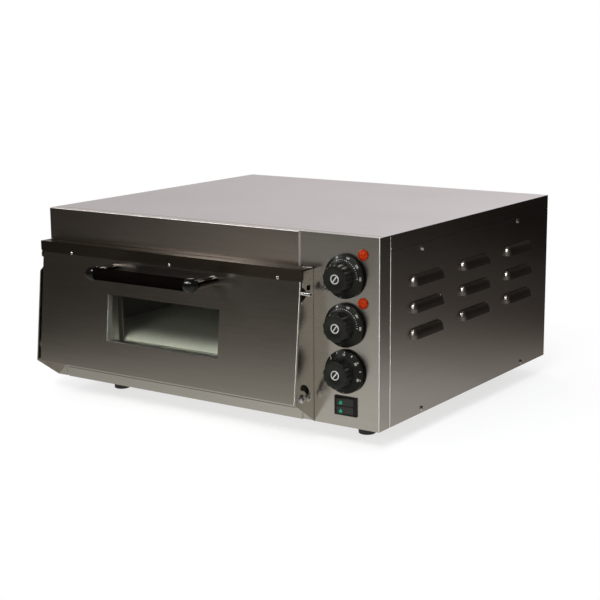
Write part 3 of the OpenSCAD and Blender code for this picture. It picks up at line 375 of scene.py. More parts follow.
# %% Stone
stone, tree, shader, _ = material("stone", **{"Roughness": 0.85, "Specular IOR Level": 0.05})
where = object_coords(tree)
specks = node(tree, "ShaderNodeTexNoise", {"Vector": where, "Scale": 420.0, "Detail": 6.0, "Roughness": 0.8})
blotch = use(tree, handling, Vector=where, Size=14.0)["Mask"]
ground = shades(tree, specks.outputs["Fac"], (0.50, 0.49, 0.41), (0.80, 0.80, 0.72))
baked = blended(tree, "MIX", spread(tree, blotch, 0.0, 0.3), ground, (0.46, 0.44, 0.36, 1))
rough_face = node(tree, "ShaderNodeBump", {"Height": specks.outputs["Fac"], "Strength": 0.5,
                                           "Distance": 0.0004})
tree.links.new(baked, shader.inputs["Base Color"])
tree.links.new(rough_face.outputs[0], shader.inputs["Normal"])
print("made", stone.name)

# %% Mineral wool
wool, tree, shader, _ = material("wool", **{"Roughness": 0.95, "Sheen Weight": 0.4})
where = object_coords(tree, (60, 60, 400))
fibre = node(tree, "ShaderNodeTexNoise", {"Vector": where, "Scale": 1.0, "Detail": 8.0, "Distortion": 1.5})
matted = node(tree, "ShaderNodeBump", {"Height": fibre.outputs["Fac"], "Strength": 1.0, "Distance": 0.0015})
tree.links.new(shades(tree, fibre.outputs["Fac"], (0.48, 0.40, 0.20), (0.80, 0.73, 0.48)),
               shader.inputs["Base Color"])
tree.links.new(matted.outputs[0], shader.inputs["Normal"])
print("made", wool.name, "- materials so far:", len(bpy.data.materials))

# %% [markdown]
# ## Glass
# The door's pane is clear, and light has to fall through it onto the stone. A path tracer finds
# that hard, so shadow rays and scattered rays see a plain tinted sheet instead of real glass.

# %% Glass
PANE_TINT = (0.93, 0.95, 0.92, 1)
pane, tree, shader, out = material("pane", **{"Transmission Weight": 1.0, "Roughness": 0.015,
                                              "IOR": 1.5, "Base Color": PANE_TINT})
rays = node(tree, "ShaderNodeLightPath")
soft_rays = maths(tree, "MAXIMUM", rays.outputs["Is Shadow Ray"], rays.outputs["Is Diffuse Ray"])
clear = node(tree, "ShaderNodeBsdfTransparent", {"Color": PANE_TINT})
either = node(tree, "ShaderNodeMixShader", {0: soft_rays, 1: shader.outputs[0], 2: clear.outputs[0]})
tree.links.new(either.outputs[0], out.inputs["Surface"])
print("made", pane.name)

# %% [markdown]
# ## Signal lenses
# A signal lamp's lens is tinted plastic with small facets moulded behind a smooth face. Modelled facets would
# be far smaller than a pixel, so a cell pattern tints the lens instead, and a faint painted glow stands for the
# light that it gathers.

# %% Signal lenses


def lens(name, colour, glow):
    """A tinted signal lens with small facets behind its smooth face."""
    made, tree, shader, _ = material(name, **{"Roughness": 0.3, "Specular IOR Level": 0.12,
                                              "Coat Weight": 0.06, "Coat Roughness": 0.05,
                                              "Emission Strength": glow})
    facets = node(tree, "ShaderNodeTexVoronoi", {"Vector": object_coords(tree), "Scale": 700.0})
    tint = shades(tree, facets.outputs["Distance"], [c * 1.15 for c in colour],
                  [c * 0.7 for c in colour], 0.0, 0.9)
    tree.links.new(tint, shader.inputs["Base Color"])
    tree.links.new(tint, shader.inputs["Emission Color"])
    return made


lamp_red = lens("lamp_red", (0.25, 0.016, 0.0), 0.09)
rocker_green = lens("rocker_green", (0.012, 0.22, 0.12), 0.04)
print("made", lamp_red.name, "and", rocker_green.name)

# %% [markdown]
# ## Pieces that keep their CAD mesh
# Most solids have the right shape already. The small ones and those inside the oven keep their CAD mesh: a Weld
# modifier joins its loose triangles, and Edge Split keeps its edges crisp while round faces are smooth. The
# screws' recesses and the stone's front edge get a darker finish, which paints shade in them.

# %% Which finish goes on which piece
AS_DRAWN = {
    chamber_steel: ["chamber_liner", "heat_shield", "door_inner_panel", "window_retainer", "stone_rails",
                    "element_brackets"],
    stone: ["baking_stone"],
    rod_oxide: ["upper_element", "lower_element"],
    wool: ["top_insulation", "bottom_insulation", "side_insulation", "rear_insulation", "door_insulation"],
    case_brown: ["upper_thermostat", "lower_thermostat"],
    case_white: ["timer"],
    ceramic: ["safety_cutout", "terminal_block"],
    lamp_red: ["upper_lamp", "lower_lamp"],
    post_steel: ["handle_posts"],
    grip_black: ["handle_grip"],
    sleeve_grey: ["wiring"],
    brass: ["earth_stud"],
    bright_steel: ["foot_screws", "panel_screws", "hinge_screws", "limit_screws", "latch_pin", "rail_rivets",
                   "upper_shaft", "lower_shaft", "timer_shaft"],
    pane: ["window_glass"],
    cap_black: ["handle_caps"],
    dial_black: ["upper_knob", "lower_knob", "timer_knob"],
}
HEAD_ACROSS = {"hinge_screws": 12, "limit_screws": 12, "panel_screws": 7.4, "latch_pin": 7.4}
print("pieces that keep their mesh:", sum(len(names) for names in AS_DRAWN.values()))

# %% Dressing them
WELD_GAP = 0.000005
FLAT_TIP, RECESS_TOP, RECESS_FLOOR = 0.00005, 0.0001, 0.0022
RECESS_SHARE = 0.27
STONE_FRONT = -0.5
CRISP_ANGLE = math.radians(35)


def shade_recesses(cad, head_mm):
    """The faces inside the recess of each screw head at the right get the dark finish of painted shade."""
    cad.data.materials.append(shaded_gap)
    end = max(v.co.x for v in cad.data.vertices)
    tips = [v.co for v in cad.data.vertices if v.co.x > end - FLAT_TIP]
    while tips:
        head = [tip for tip in tips if (tip - tips[0]).length < head_mm * MM]
        tips = [tip for tip in tips if tip not in head]
        middle = [(min(tip[i] for tip in head) + max(tip[i] for tip in head)) / 2 for i in (1, 2)]
        for face in cad.data.polygons:
            away = math.hypot(face.center.y - middle[0], face.center.z - middle[1])
            if end - RECESS_FLOOR < face.center.x < end - RECESS_TOP and away < head_mm * RECESS_SHARE * MM:
                face.material_index = 1


dressed = set()
for finish, names in AS_DRAWN.items():
    for name in names:
        cad = nodes[name]
        cad.data.materials.clear()
        cad.data.materials.append(finish)
        weld = cad.modifiers.new("weld", "WELD")
        weld.merge_threshold = WELD_GAP
        split = cad.modifiers.new("crisp edges", "EDGE_SPLIT")
        split.split_angle = CRISP_ANGLE
        cad.data.polygons.foreach_set("use_smooth", [True] * len(cad.data.polygons))
        if name in HEAD_ACROSS:
            shade_recesses(cad, HEAD_ACROSS[name])
        # The stone's front face takes the darker stone: painted shade.
        if name == "baking_stone":
            cad.data.materials.append(shaded_stone_front)
            for face in cad.data.polygons:
                face.material_index = int(face.normal.y < STONE_FRONT)
        dressed.add(name)
print("kept as CAD meshes:", len(dressed))

# %% [markdown]
# ## Pieces that get rounded edges
# What shows from outside becomes a joined copy, because only a joined mesh can have its folds
# and cut edges rounded, as folding and deburring round the real ones. The number in each row is
# that rounding's size in millimetres.

# %% Which pieces get rounded edges
ROUNDED = [
    (top_steel, "casing_steel", 0.6, ["top_cover"]),
    (side_steel, "casing_steel", 0.3, ["right_side_panel", "left_side_panel"]),
    (rear_steel, "casing_steel", 0.3, ["rear_panel"]),
    (front_steel, "fascia_steel", 0.5, ["fascia"]),
    (panel_steel, "casing_steel", 0.35, ["control_panel", "left_hinge_post", "base_pan", "front_frame"]),
    (door_steel, "door_steel", 0.35, ["door_skin"]),
    (frame_steel, "door_steel", 0.35, ["window_frame"]),
    (rail_steel, "door_steel", 0.5, ["door_top_rail"]),
    (switch_black, "switch_plastic", 0.35, ["switch_body"]),
    (rocker_black, "switch_plastic", 0.6, ["upper_rocker", "lower_rocker"]),
    (gland_black, "gland_plastic", 0.4, ["cable_gland"]),
    (foot_rubber, "foot_rubber", 0.8, ["foot_front_left", "foot_front_right", "foot_rear_left",
                                       "foot_rear_right"]),
]
print("pieces with rounded edges:", sum(len(row[3]) for row in ROUNDED))

# %% [markdown]
# ## Folds that the eye catches
# Some folds are wide enough to show as a bright or dark line in the photograph, and their finish paints that
# line in as a highlight or as shade. Each is found by a box of the casing's drawing that holds its edge, and is
# rounded by more than the cut edges.
# Its radius stays under the sheet's thickness, because a bevel that runs out of room shrinks
# every edge that is bevelled with it.

# %% Where the wide folds are
FREE = (-1000, 1000)
TOP = (250.5, 251.5)
# Each row's finish paints a highlight or shade along its fold.
WIDE_FOLDS = {
    "control_panel": [(0.9, highlit_fold, ((279.5, 280.5), (-0.5, 0.5), FREE)),
                      (0.9, highlit_fold, (FREE, (-0.5, 0.5), TOP)),
                      (0.7, shaded_crease, ((180, 181), (-0.2, 0.2), (-1, 204)))],
    "fascia": [(0.9, highlit_fold, (FREE, (-3.5, -2.5), TOP))],
    "right_side_panel": [(1.1, bright_highlit_edge, ((279, 281), (25, 27), FREE))],
    "top_cover": [(0.9, shaded_crease, (FREE, (12, 12.6), TOP)),
                  (0.9, bright_highlit_edge, ((279.5, 280.5), (26, 27), (230, 252))),
                  (0.9, shaded_crease, ((279.5, 280.5), (26, 500), (230.3, 231.3)))],
    "door_skin": [(0.9, faint_highlit_edge, ((176, 177), (-60, -23.9), FREE))],
}
print("wide folds:", sum(len(folds) for folds in WIDE_FOLDS.values()))

# %% [markdown]
# ## Finishes that change within a piece
# Some faces of a sheet get another finish: painted highlights on its folds and on the cut of the window,
# painted shade on the louvers and in the gap beside the door, and the side's darker tone, painted shade, on
# faces that look to the right. They could be cut off as pieces of their own, but the real sheet is one piece,
# so the finish is chosen face by face.

# %% Finishes that change within a piece
FOLD_MARGIN = 1.4
SQUARE_ON, FACING_RIGHT = 0.985, 0.9
FASCIA_END, DOOR_END, CASING_FACE, LOUVER_RISE = 0.159, 0.175, 0.2795, 0.2803
WINDOW_CUT = ((-149, -148), FREE, FREE)


def lies_in(point, limits):
    """Whether a place lies in a box of the casing's drawing."""
    drawn = (point.x / MM, (point.y - front_plane) / MM, (point.z - underside) / MM)
    return all(low <= value <= high for value, (low, high) in zip(drawn, limits))


def beside(limits):
    """The same box with a margin, so that it holds the rounded faces of a fold."""
    return tuple(FREE if (low, high) == FREE else (low - FOLD_MARGIN, high + FOLD_MARGIN)
                 for low, high in limits)


def touches(name, face):
    """The finish of a face that differs from the rest of its piece, or None."""
    middle, normal = face.calc_center_median(), face.normal
    for _, special, limits in WIDE_FOLDS.get(name, []):
        if max(abs(c) for c in normal) < SQUARE_ON and lies_in(middle, beside(limits)):
            return special
    # Painted shade: the louver hoods take a darker steel.
    if name == "right_side_panel" and middle.x > LOUVER_RISE:
        return shaded_louver
    if normal.x <= FACING_RIGHT:
        return None
    # Painted highlight on the fascia's right return.
    if name == "fascia" and middle.x > FASCIA_END:
        return faint_highlit_edge
    # Painted shadow in the gap between the door's right edge and the cheek.
    if name == "door_skin" and middle.x > DOOR_END:
        return shaded_gap
    # Painted highlight on the cut of the window.
    if name == "door_skin" and lies_in(middle, WINDOW_CUT):
        return highlit_fold
    # Painted shade: faces that look to the right take the darker tone of the side panel.
    if name in ("control_panel", "top_cover") and middle.x > CASING_FACE:
        return side_steel
    return None


print("a fold's box grows by", FOLD_MARGIN, "mm each way when its faces are looked for")

# %% [markdown]
# ## Joined copies
# The copy's doubles are merged and its flat triangles dissolved, so that an edge runs as far as
# it does on the sheet. Wide folds are bevelled first, all other sharp edges after them. Only
# small curved faces are shaded smooth, since a large flat face that is smooth shows streaks.

# %% Joined copies
HARD, SOFT, FOLD_ANGLE, FLAT = (math.radians(a) for a in (40, 1, 80, 0.3))
FOLD_LENGTH, SMOOTH_AREA, ALIGNED = 0.015, 0.0004, 0.9999


def hard_edges(bm):
    """The edges of a mesh that the eye sees as edges."""
    return [e for e in bm.edges if e.is_manifold and e.calc_face_angle() > HARD]


def round_over(bm, edges, radius_mm, segments):
    """A bevel of some edges."""
    bmesh.ops.bevel(bm, geom=edges, offset=radius_mm * MM, offset_type="OFFSET", segments=segments,
                    profile=0.5, affect="EDGES", clamp_overlap=True, material=-1)


def joined_copy(name, finish, edge_mm):
    """A CAD piece as one joined mesh with its sharp edges rounded, in place of the CAD mesh."""
    bm = bmesh.new()
    bm.from_mesh(nodes[name].data)
    bmesh.ops.remove_doubles(bm, verts=bm.verts, dist=WELD_GAP)
    bmesh.ops.dissolve_limit(bm, angle_limit=FLAT, verts=bm.verts, edges=bm.edges)
    for e in bm.edges:
        e.smooth = e.is_manifold and e.calc_face_angle() < HARD
    for f in bm.faces:
        bends = [e.calc_face_angle() for e in f.edges if e.is_manifold]
        curved = any(SOFT < bend < HARD for bend in bends)
        f.smooth = curved and f.calc_area() < SMOOTH_AREA and max(abs(c) for c in f.normal) < ALIGNED
    folds = WIDE_FOLDS.get(name, [])
    for radius, _, limits in folds:
        round_over(bm, [e for e in hard_edges(bm) if e.calc_length() > FOLD_LENGTH
                        and e.calc_face_angle() > FOLD_ANGLE
                        and all(lies_in(v.co, limits) for v in e.verts)], radius, 4)
    boxes = [beside(limits) for _, _, limits in folds]
    round_over(bm, [e for e in hard_edges(bm)
                    if not any(all(lies_in(v.co, box) for v in e.verts) for box in boxes)], edge_mm, 2)
    bm.normal_update()
    finishes = [finish]
    for f in bm.faces:
        other = touches(name, f) or finish
        if other not in finishes:
            finishes.append(other)
        f.material_index = finishes.index(other)
    mesh = bpy.data.meshes.new(name)
    bm.to_mesh(mesh)
    bm.free()
    for used in finishes:
        mesh.materials.append(used)
    made = bpy.data.objects.new(name + "_dressed", mesh)
    scene.collection.objects.link(made)
    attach(made, nodes[name]["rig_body"])
    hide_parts(name)
    return made


for finish, slot, edge_mm, names in ROUNDED:
    for name in names:
        nodes[name].data.materials.clear()
        nodes[name].data.materials.append(finish)
        copy = joined_copy(name, finish, edge_mm)
        dressed.add(name)
        print(name, "faces:", len(copy.data.polygons))
print("dressed", len(dressed), "of", len(nodes), "nodes; bare:", set(nodes) - dressed)

# %% [markdown]
# ## Turned pieces
# Dials, lamps, caps and rivets are all turned shapes. A half outline is drawn once and spun
# about an axis, which is how such a piece is made on a lathe too. Each is modelled upright, then
# its place goes into its mesh, because a finished object stays at the origin, unturned.

# %% Making and placing pieces
SEAM_GAP = 0.000002


def lathe(outline, steps=96):
    """A closed turned shape about +Z from a half outline of (radius, height) points, in millimetres."""
    bm = bmesh.new()
    points = [bm.verts.new((r * MM, 0, h * MM)) for r, h in outline]
    for a, b in zip(points, points[1:]):
        bm.edges.new((a, b))
    bmesh.ops.spin(bm, geom=bm.verts[:] + bm.edges[:], cent=(0, 0, 0), axis=(0, 0, 1), angle=math.tau,
                   steps=steps, use_merge=True)
    bmesh.ops.remove_doubles(bm, verts=bm.verts, dist=SEAM_GAP)
    bmesh.ops.recalc_face_normals(bm, faces=bm.faces)
    return bm


def piece(name, bm, place, finish, body, replaced=(), sharp=40):
    """A finished piece: its place goes into its mesh, and it rides on a body."""
    bmesh.ops.transform(bm, matrix=place, verts=bm.verts)
    mesh = bpy.data.meshes.new(name)
    bm.to_mesh(mesh)
    bm.free()
    mesh.materials.append(finish)
    mesh.polygons.foreach_set("use_smooth", [True] * len(mesh.polygons))
    mesh.set_sharp_from_angle(angle=math.radians(sharp))
    made = bpy.data.objects.new(name, mesh)
    scene.collection.objects.link(made)
    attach(made, body)
    if replaced:
        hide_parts(*replaced)
    print(name, "on", body, "faces:", len(mesh.polygons))


def facing_front(where):
    """A matrix that stands a turned piece's +Z out of the front, at a place of the casing's drawing."""
    return Matrix.Translation(at(*where)) @ Matrix.Rotation(math.radians(90), 4, "X")


print("the axis of a turned piece points along", [round(c) for c in facing_front((0, 0, 0)).col[2][:3]])

# %% [markdown]
# ## Dials
# A dial is a satin grip with shallow flutes on a conical skirt. The skirt is turned. The grip
# could be a cylinder with flutes cut out of it, but then the cuts end sharply. Here it starts as
# one ring whose points are drawn in at each flute, and is then extruded upward and rounded in at
# the front, so the flutes run out over the edge as they do on the moulding.

# %% Sizes of the dials
DIAL_X = 230
DIALS = {"upper": 198.3, "lower": 134.85, "timer": 74}
SKIRT_R, GRIP_R, REACH = 28.5, 19.3, 27.0
BORE_R, SKIRT_BACK, SKIRT_FRONT = 7, 3, 11.3
CONE_LOW, CONE_HIGH, CONE_IN, CONE_OUT = 6.4, 10.8, 20.0, SKIRT_R - 0.9
CONE_SLOPE = math.atan2(CONE_HIGH - CONE_LOW, CONE_OUT - CONE_IN)
SKIRT_OUTLINE = [(BORE_R, SKIRT_BACK), (SKIRT_R - 0.3, SKIRT_BACK), (SKIRT_R, 3.3), (SKIRT_R, 5.4),
                 (SKIRT_R - 0.25, 6.1), (CONE_OUT, CONE_LOW), (CONE_IN, CONE_HIGH), (GRIP_R - 0.2, 11.2),
                 (GRIP_R - 2, SKIRT_FRONT), (BORE_R, SKIRT_FRONT), (BORE_R, SKIRT_BACK)]
FLUTES, FLUTE_TURN, FLUTE_DEPTH, FLUTE_WIDTH = 12, math.radians(7), 1.0, 0.7
POINTS_PER_FLUTE = 16
GRIP_BASE, DISH = 10.6, 0.75
print("the skirt slopes", round(math.degrees(CONE_SLOPE), 1), "degrees")

# %% Dials


def fluted_grip():
    """The grip, about +Z: a fluted ring extruded up, rounded over and closed with a shallow dish."""
    bm = bmesh.new()
    bmesh.ops.create_circle(bm, radius=GRIP_R * MM, segments=FLUTES * POINTS_PER_FLUTE)
    for v in bm.verts:
        turn = (math.atan2(v.co.y, v.co.x) - FLUTE_TURN) * FLUTES / math.tau
        off = abs(turn - round(turn)) * 2
        drawn_in = FLUTE_DEPTH * max(0.0, 1 - (off / FLUTE_WIDTH) ** 2) ** 1.5
        v.co *= 1 - drawn_in / GRIP_R
    bmesh.ops.translate(bm, verts=bm.verts, vec=(0, 0, GRIP_BASE * MM))
    rim = bm.edges[:]
    height, size = GRIP_BASE, 1.0
    shoulder = [(REACH - 2.1 + 2.0 * math.sin(a), 0.955 - 0.075 * (1 - math.cos(a)))
                for a in map(math.radians, range(0, 91, 15))]
    dish = [(REACH - 0.1, 0.52), (REACH - DISH, 0.43), (REACH - DISH, 0.36)]
    for to_height, to_size in shoulder + dish:
        ring = bmesh.ops.extrude_edge_only(bm, edges=rim)["geom"]
        rim = [g for g in ring if isinstance(g, bmesh.types.BMEdge)]
        verts = [g for g in ring if isinstance(g, bmesh.types.BMVert)]
        bmesh.ops.translate(bm, verts=verts, vec=(0, 0, (to_height - height) * MM))
        bmesh.ops.scale(bm, verts=verts, vec=(to_size / size, to_size / size, 1))
        height, size = to_height, to_size
    bmesh.ops.contextual_create(bm, geom=rim)
    bmesh.ops.holes_fill(bm, edges=bm.edges)
    bmesh.ops.recalc_face_normals(bm, faces=bm.faces)
    return bm


for dial, height in DIALS.items():
    stand = facing_front((DIAL_X, 0, height))
    body = dial + "_dial"
    piece(dial + "_skirt", lathe(SKIRT_OUTLINE), stand, skirt_black, body, (dial + "_knob",), 50)
    piece(dial + "_grip", fluted_grip(), stand, dial_black, body, sharp=50)

# %% [markdown]
# ## Scales and the mark in the middle
# The two upper dials carry a dotted arc with numbers for the temperature, and the lowest has
# strokes for the minutes. They are printed on the real dials. A texture could show them, but
# a thin raised shape on the cone stays crisp from near by. The mark in the middle of each dial is
# a plain ring with a bar across it.

# %% Small shapes on the skirt's cone
PRINT_THICK = 0.12
TEXT_SIZE, TEXT_BOLDER = 1.35, 0.02


def on_cone(angle, radius, lift=0.02):
    """A matrix on the cone: +Y points outward, +Z off the surface; angles run clockwise from the top."""
    height = CONE_LOW + (CONE_OUT - radius) * math.tan(CONE_SLOPE)
    spot = Matrix.Translation((0, radius * MM, (height + lift) * MM))
    return Matrix.Rotation(-math.radians(angle), 4, "Z") @ spot @ Matrix.Rotation(-CONE_SLOPE, 4, "X")


def add_bar(bm, place, width, length, thick=PRINT_THICK):
    """A small block with its middle at a place."""
    made = bmesh.ops.create_cube(bm, size=MM)["verts"]
    bmesh.ops.scale(bm, verts=made, vec=(width, length, thick))
    bmesh.ops.transform(bm, matrix=place, verts=made)


def add_dot(bm, place, radius):
    """A small flat disc with its middle at a place."""
    made = bmesh.ops.create_cone(bm, cap_ends=True, segments=10, radius1=radius * MM,
                                 radius2=radius * MM, depth=PRINT_THICK * MM)["verts"]
    bmesh.ops.transform(bm, matrix=place, verts=made)


def add_number(bm, text, place, height):
    """A number as a thin solid, with its middle at a place."""
    curve = bpy.data.curves.new("number", "FONT")
    curve.body = text
    curve.size = height * MM * TEXT_SIZE
    curve.extrude = PRINT_THICK / 2 * MM
    curve.offset = TEXT_BOLDER * MM
    curve.align_x, curve.align_y = "CENTER", "CENTER"
    holder = bpy.data.objects.new("number", curve)
    mesh = bpy.data.meshes.new_from_object(holder)
    mesh.transform(place)
    bm.from_mesh(mesh)
    bpy.data.objects.remove(holder)
    bpy.data.meshes.remove(mesh)
    bpy.data.curves.remove(curve)


print("a print is", PRINT_THICK, "mm thick")

# %% Scales
SMALL_DOT, LARGE_DOT, DOTS_PER_NUMBER = 0.36, 0.6, 5
DOTS_R, HEATS_R, HEAT_HIGH, MINUTES_R, MINUTE_HIGH, NUMBER_LIFT = 22.6, 25.9, 2.5, 24.0, 3.0, 0.03


def temperature_scale():
    """A dotted arc from the off mark up to 350, with a number at each large dot."""
    bm = bmesh.new()
    start, step = -56.6, 36.8
    for i in range(4 * DOTS_PER_NUMBER + 1):
        add_dot(bm, on_cone(start + i * step / DOTS_PER_NUMBER, DOTS_R),
                SMALL_DOT if i % DOTS_PER_NUMBER else LARGE_DOT)
    for i, number in enumerate(("50", "150", "250", "350")):
        add_number(bm, number, on_cone(start + (i + 1) * step, HEATS_R, NUMBER_LIFT), HEAT_HIGH)
    add_bar(bm, on_cone(188, 26.6), 0.6, 1.2)
    return bm


def minute_scale():
    """Numbers up to 30 minutes, each with a bold stroke outside it, and strokes halfway between them."""
    bm = bmesh.new()
    start, step = -46.0, 50.7
    for i in range(4):
        add_number(bm, str(10 * i), on_cone(start + i * step, MINUTES_R, NUMBER_LIFT), MINUTE_HIGH)
        add_bar(bm, on_cone(start + i * step, 26.9), 0.9, 1.5)
        if i < 3:
            add_bar(bm, on_cone(start + (i + 0.5) * step, 26.4), 1.0, 2.2)
    for angle in (180, 203):
        add_bar(bm, on_cone(angle, 26.8), 0.6, 1.4)
    return bm


front = REACH - DISH
RING_OUTLINE = [(4.85, front), (4.8, front + 0.25), (5.0, front + 0.5), (6.0, front + 0.5),
                (6.25, front + 0.25), (6.2, front), (4.85, front)]
BAR_TURN, BAR_SIZE = math.radians(-38), (1.4, 9.8, 0.5)
for dial, height in DIALS.items():
    stand = facing_front((DIAL_X, 0, height))
    scale = minute_scale() if dial == "timer" else temperature_scale()
    piece(dial + "_scale", scale, stand, print_white, dial + "_dial", sharp=30)
    ring = lathe(RING_OUTLINE, 64)
    middle = Matrix.Translation((0, 0, (front + 0.25) * MM))
    add_bar(ring, middle @ Matrix.Rotation(BAR_TURN, 4, "Z"), *BAR_SIZE)
    piece(dial + "_mark", ring, stand, mark_silver, dial + "_dial", sharp=40)

# %% [markdown]
# ## Signal lamps
# Each lamp is a domed lens over a thin collar. A squashed ball would bulge too much at its rim,
# so the dome is a flat arc of the outline, and the highlight rolls over it without a step.

# %% Signal lamps
LAMP_X = 256
LAMPS = {"upper": 227.6, "lower": 165.45}
LENS_R, DOME, COLLAR, DOME_STEPS = 7.25, 5.8, 1.2, 12
ball = (LENS_R ** 2 + (DOME - COLLAR) ** 2) / (2 * (DOME - COLLAR))
reach = math.degrees(math.asin(LENS_R / ball))
turns = [math.radians(reach * i / DOME_STEPS) for i in range(DOME_STEPS, -1, -1)]
dome = [(ball * math.sin(turn), DOME - ball * (1 - math.cos(turn))) for turn in turns]
for lamp, height in LAMPS.items():
    lens_shape = lathe([(0, 0), (LENS_R - 0.3, 0), (LENS_R, 0.3), *dome], 64)
    piece(lamp + "_lens", lens_shape, facing_front((LAMP_X, 0, height)), lamp_red, "root",
          (lamp + "_lamp",), 35)

# %% [markdown]
# ## The handle
# The grip is a black tube between two caps with rounded ends, and two posts carry it. Tube and
# caps are separate mouldings, so they are separate pieces here. The caps are turned from an
# outline whose end is a quarter of an ellipse.

# %% The handle
HANDLE_Y, HANDLE_Z, DOOR_X = -72, 178, -49.75
GRIP_HALF, CAP_L, CAP_R, CAP_ROUND, TUBE_R, TUBE_EDGE = 79.0, 17.0, 9.9, 8, 8.6, 0.4


def along_x(x, sign=1):
    """A matrix that lays a turned piece's +Z along X from a point on the handle's axis."""
    return Matrix.Translation(at(x, HANDLE_Y, HANDLE_Z)) @ Matrix.Rotation(math.radians(90 * sign), 4, "Y")


tube = lathe([(0, 0), (TUBE_R - TUBE_EDGE, 0), (TUBE_R, TUBE_EDGE), (TUBE_R, 2 * GRIP_HALF - TUBE_EDGE),
              (TUBE_R - TUBE_EDGE, 2 * GRIP_HALF), (0, 2 * GRIP_HALF)], 64)
piece("grip_tube", tube, along_x(DOOR_X - GRIP_HALF), grip_black, "door",
      ("handle_grip",))
end = [(CAP_R * math.cos(a), CAP_L - CAP_ROUND + CAP_ROUND * math.sin(a))
       for a in map(math.radians, range(0, 91, 9))]
for side, name in ((-1, "left_cap"), (1, "right_cap")):
    cap = lathe([(0, 0), (CAP_R - 0.9, 0), (CAP_R - 0.4, 0.5), (CAP_R - 0.1, 3), *end], 64)
    piece(name, cap, along_x(DOOR_X + side * GRIP_HALF, side), cap_black, "door",
          ("handle_caps",) if side > 0 else ())

# %% [markdown]
# ## Rivets
# Three small domed rivets hold the top rail. Each head is a flat dome on the rail's front face,
# whose place is read from the CAD piece.

# %% Rivets
RIVETS, RIVET_Z = (-219.8, -39.25, 141.3), 191.4
RIVET_R, RIVET_HIGH = 2.2, 1.1
rivet_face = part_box("door_top_rail")[0].y
for i, x in enumerate(RIVETS):
    head = lathe([(0, 0), (RIVET_R, 0), *[(RIVET_R * math.cos(a), RIVET_HIGH * math.sin(a))
                                          for a in map(math.radians, range(0, 91, 15))]], 32)
    stand = facing_front((x, 0, RIVET_Z))
    stand.translation.y = rivet_face
    piece(f"rivet_{i + 1}", head, stand, bright_steel, "door",
          ("rail_rivets",) if i == 0 else ())

# %% [markdown]
# ## Placing on a surface in view
# A small fitting shows at a known point of the photograph, but how deep it lies isn't known. A
# ray from the camera through that point answers it: where the ray meets the finished carrier,
# the fitting sits, turned to the face there. A ray that misses takes the place nearest to it.

# %% Placing on a surface in view


def surface_at(x, y, *carriers):
    """Where the ray through an image point meets the finished carriers, and the face's normal there."""
    ray = Vector((x - FRAME_PX / 2 + camera_data.shift_x * FRAME_PX,
                  FRAME_PX / 2 - y + camera_data.shift_y * FRAME_PX,
                  -FRAME_PX * camera_data.lens / camera_data.sensor_width))
    ray = (camera.matrix_world.to_3x3() @ ray).normalized()
    start = camera.matrix_world.translation
    graph = bpy.context.evaluated_depsgraph_get()
    near = None
    for carrier in carriers:
        tree = BVHTree.FromObject(carrier, graph)
        place, normal, _, away = tree.ray_cast(start, ray)
        if place and (near is None or away < near[2]):
            near = (place, normal, away)
    if near:
        return near[0], near[1]
    spots = [carrier.matrix_world @ v.co for carrier in carriers for v in carrier.data.vertices]
    best = min(spots, key=lambda spot: (spot - start).cross(ray).length)
    return best, -ray


print("rays start at", [round(c, 2) for c in camera.matrix_world.translation])

# %% [markdown]
# ## Rocker lenses
# Each rocker carries a green lens shaped like a drop. The drop starts as a disc whose one side
# is drawn out to a point, which keeps its rim round elsewhere, and its edges are then softened.

# %% Rocker lenses
DROP_POINTS = {"upper": (340.6, 402.9), "lower": (340.6, 411.2)}
DROP_R, DROP_TOP_R, DROP_THICK, DROP_EDGE, DROP_LIFT = 2.5, 2.1, 0.7, 0.15, 0.1
PINCH, PINCH_CURVE, POINT_LENGTH, CREASE = 0.75, 1.4, 1.35, 0.7
for rocker, point in DROP_POINTS.items():
    bm = bmesh.new()
    bmesh.ops.create_cone(bm, cap_ends=True, segments=40, radius1=DROP_R * MM, radius2=DROP_TOP_R * MM,
                          depth=DROP_THICK * MM)
    for v in bm.verts:
        if v.co.y > 0:
            v.co.x *= 1 - PINCH * (v.co.y / (DROP_R * MM)) ** PINCH_CURVE
            v.co.y *= POINT_LENGTH
    bmesh.ops.bevel(bm, geom=[e for e in bm.edges if e.calc_face_angle(0) > CREASE],
                    offset=DROP_EDGE * MM, segments=2, profile=0.5, affect="EDGES", material=-1)
    place, normal = surface_at(*point, bpy.data.objects[rocker + "_rocker_dressed"])
    sideways = Vector((0, 0, 1)).cross(normal).normalized()
    turn = Matrix((sideways, normal.cross(sideways), normal)).transposed().to_4x4()
    stand = Matrix.Translation(place + normal * DROP_LIFT * MM) @ turn
    piece(rocker + "_drop", bm, stand, rocker_green, rocker + "_switch", sharp=40)
    print(rocker, "drop at", [round(c, 4) for c in place])

# %% [markdown]
# ## The table
# The oven stands on a pale table. To the camera the table and the background are almost white.
# Polished steel shows what lies beyond the picture, so the camera and scattered light see one
# shader, and the reflections another: a table whose brightness falls off in pools.

# %% The table as the camera sees it
FLOOR_HALF = 6.0
bm = bmesh.new()
bmesh.ops.create_grid(bm, x_segments=4, y_segments=4, size=FLOOR_HALF)
floor_mesh = bpy.data.meshes.new("floor")
bm.to_mesh(floor_mesh)
bm.free()
floor = bpy.data.objects.new("floor", floor_mesh)
scene.collection.objects.link(floor)

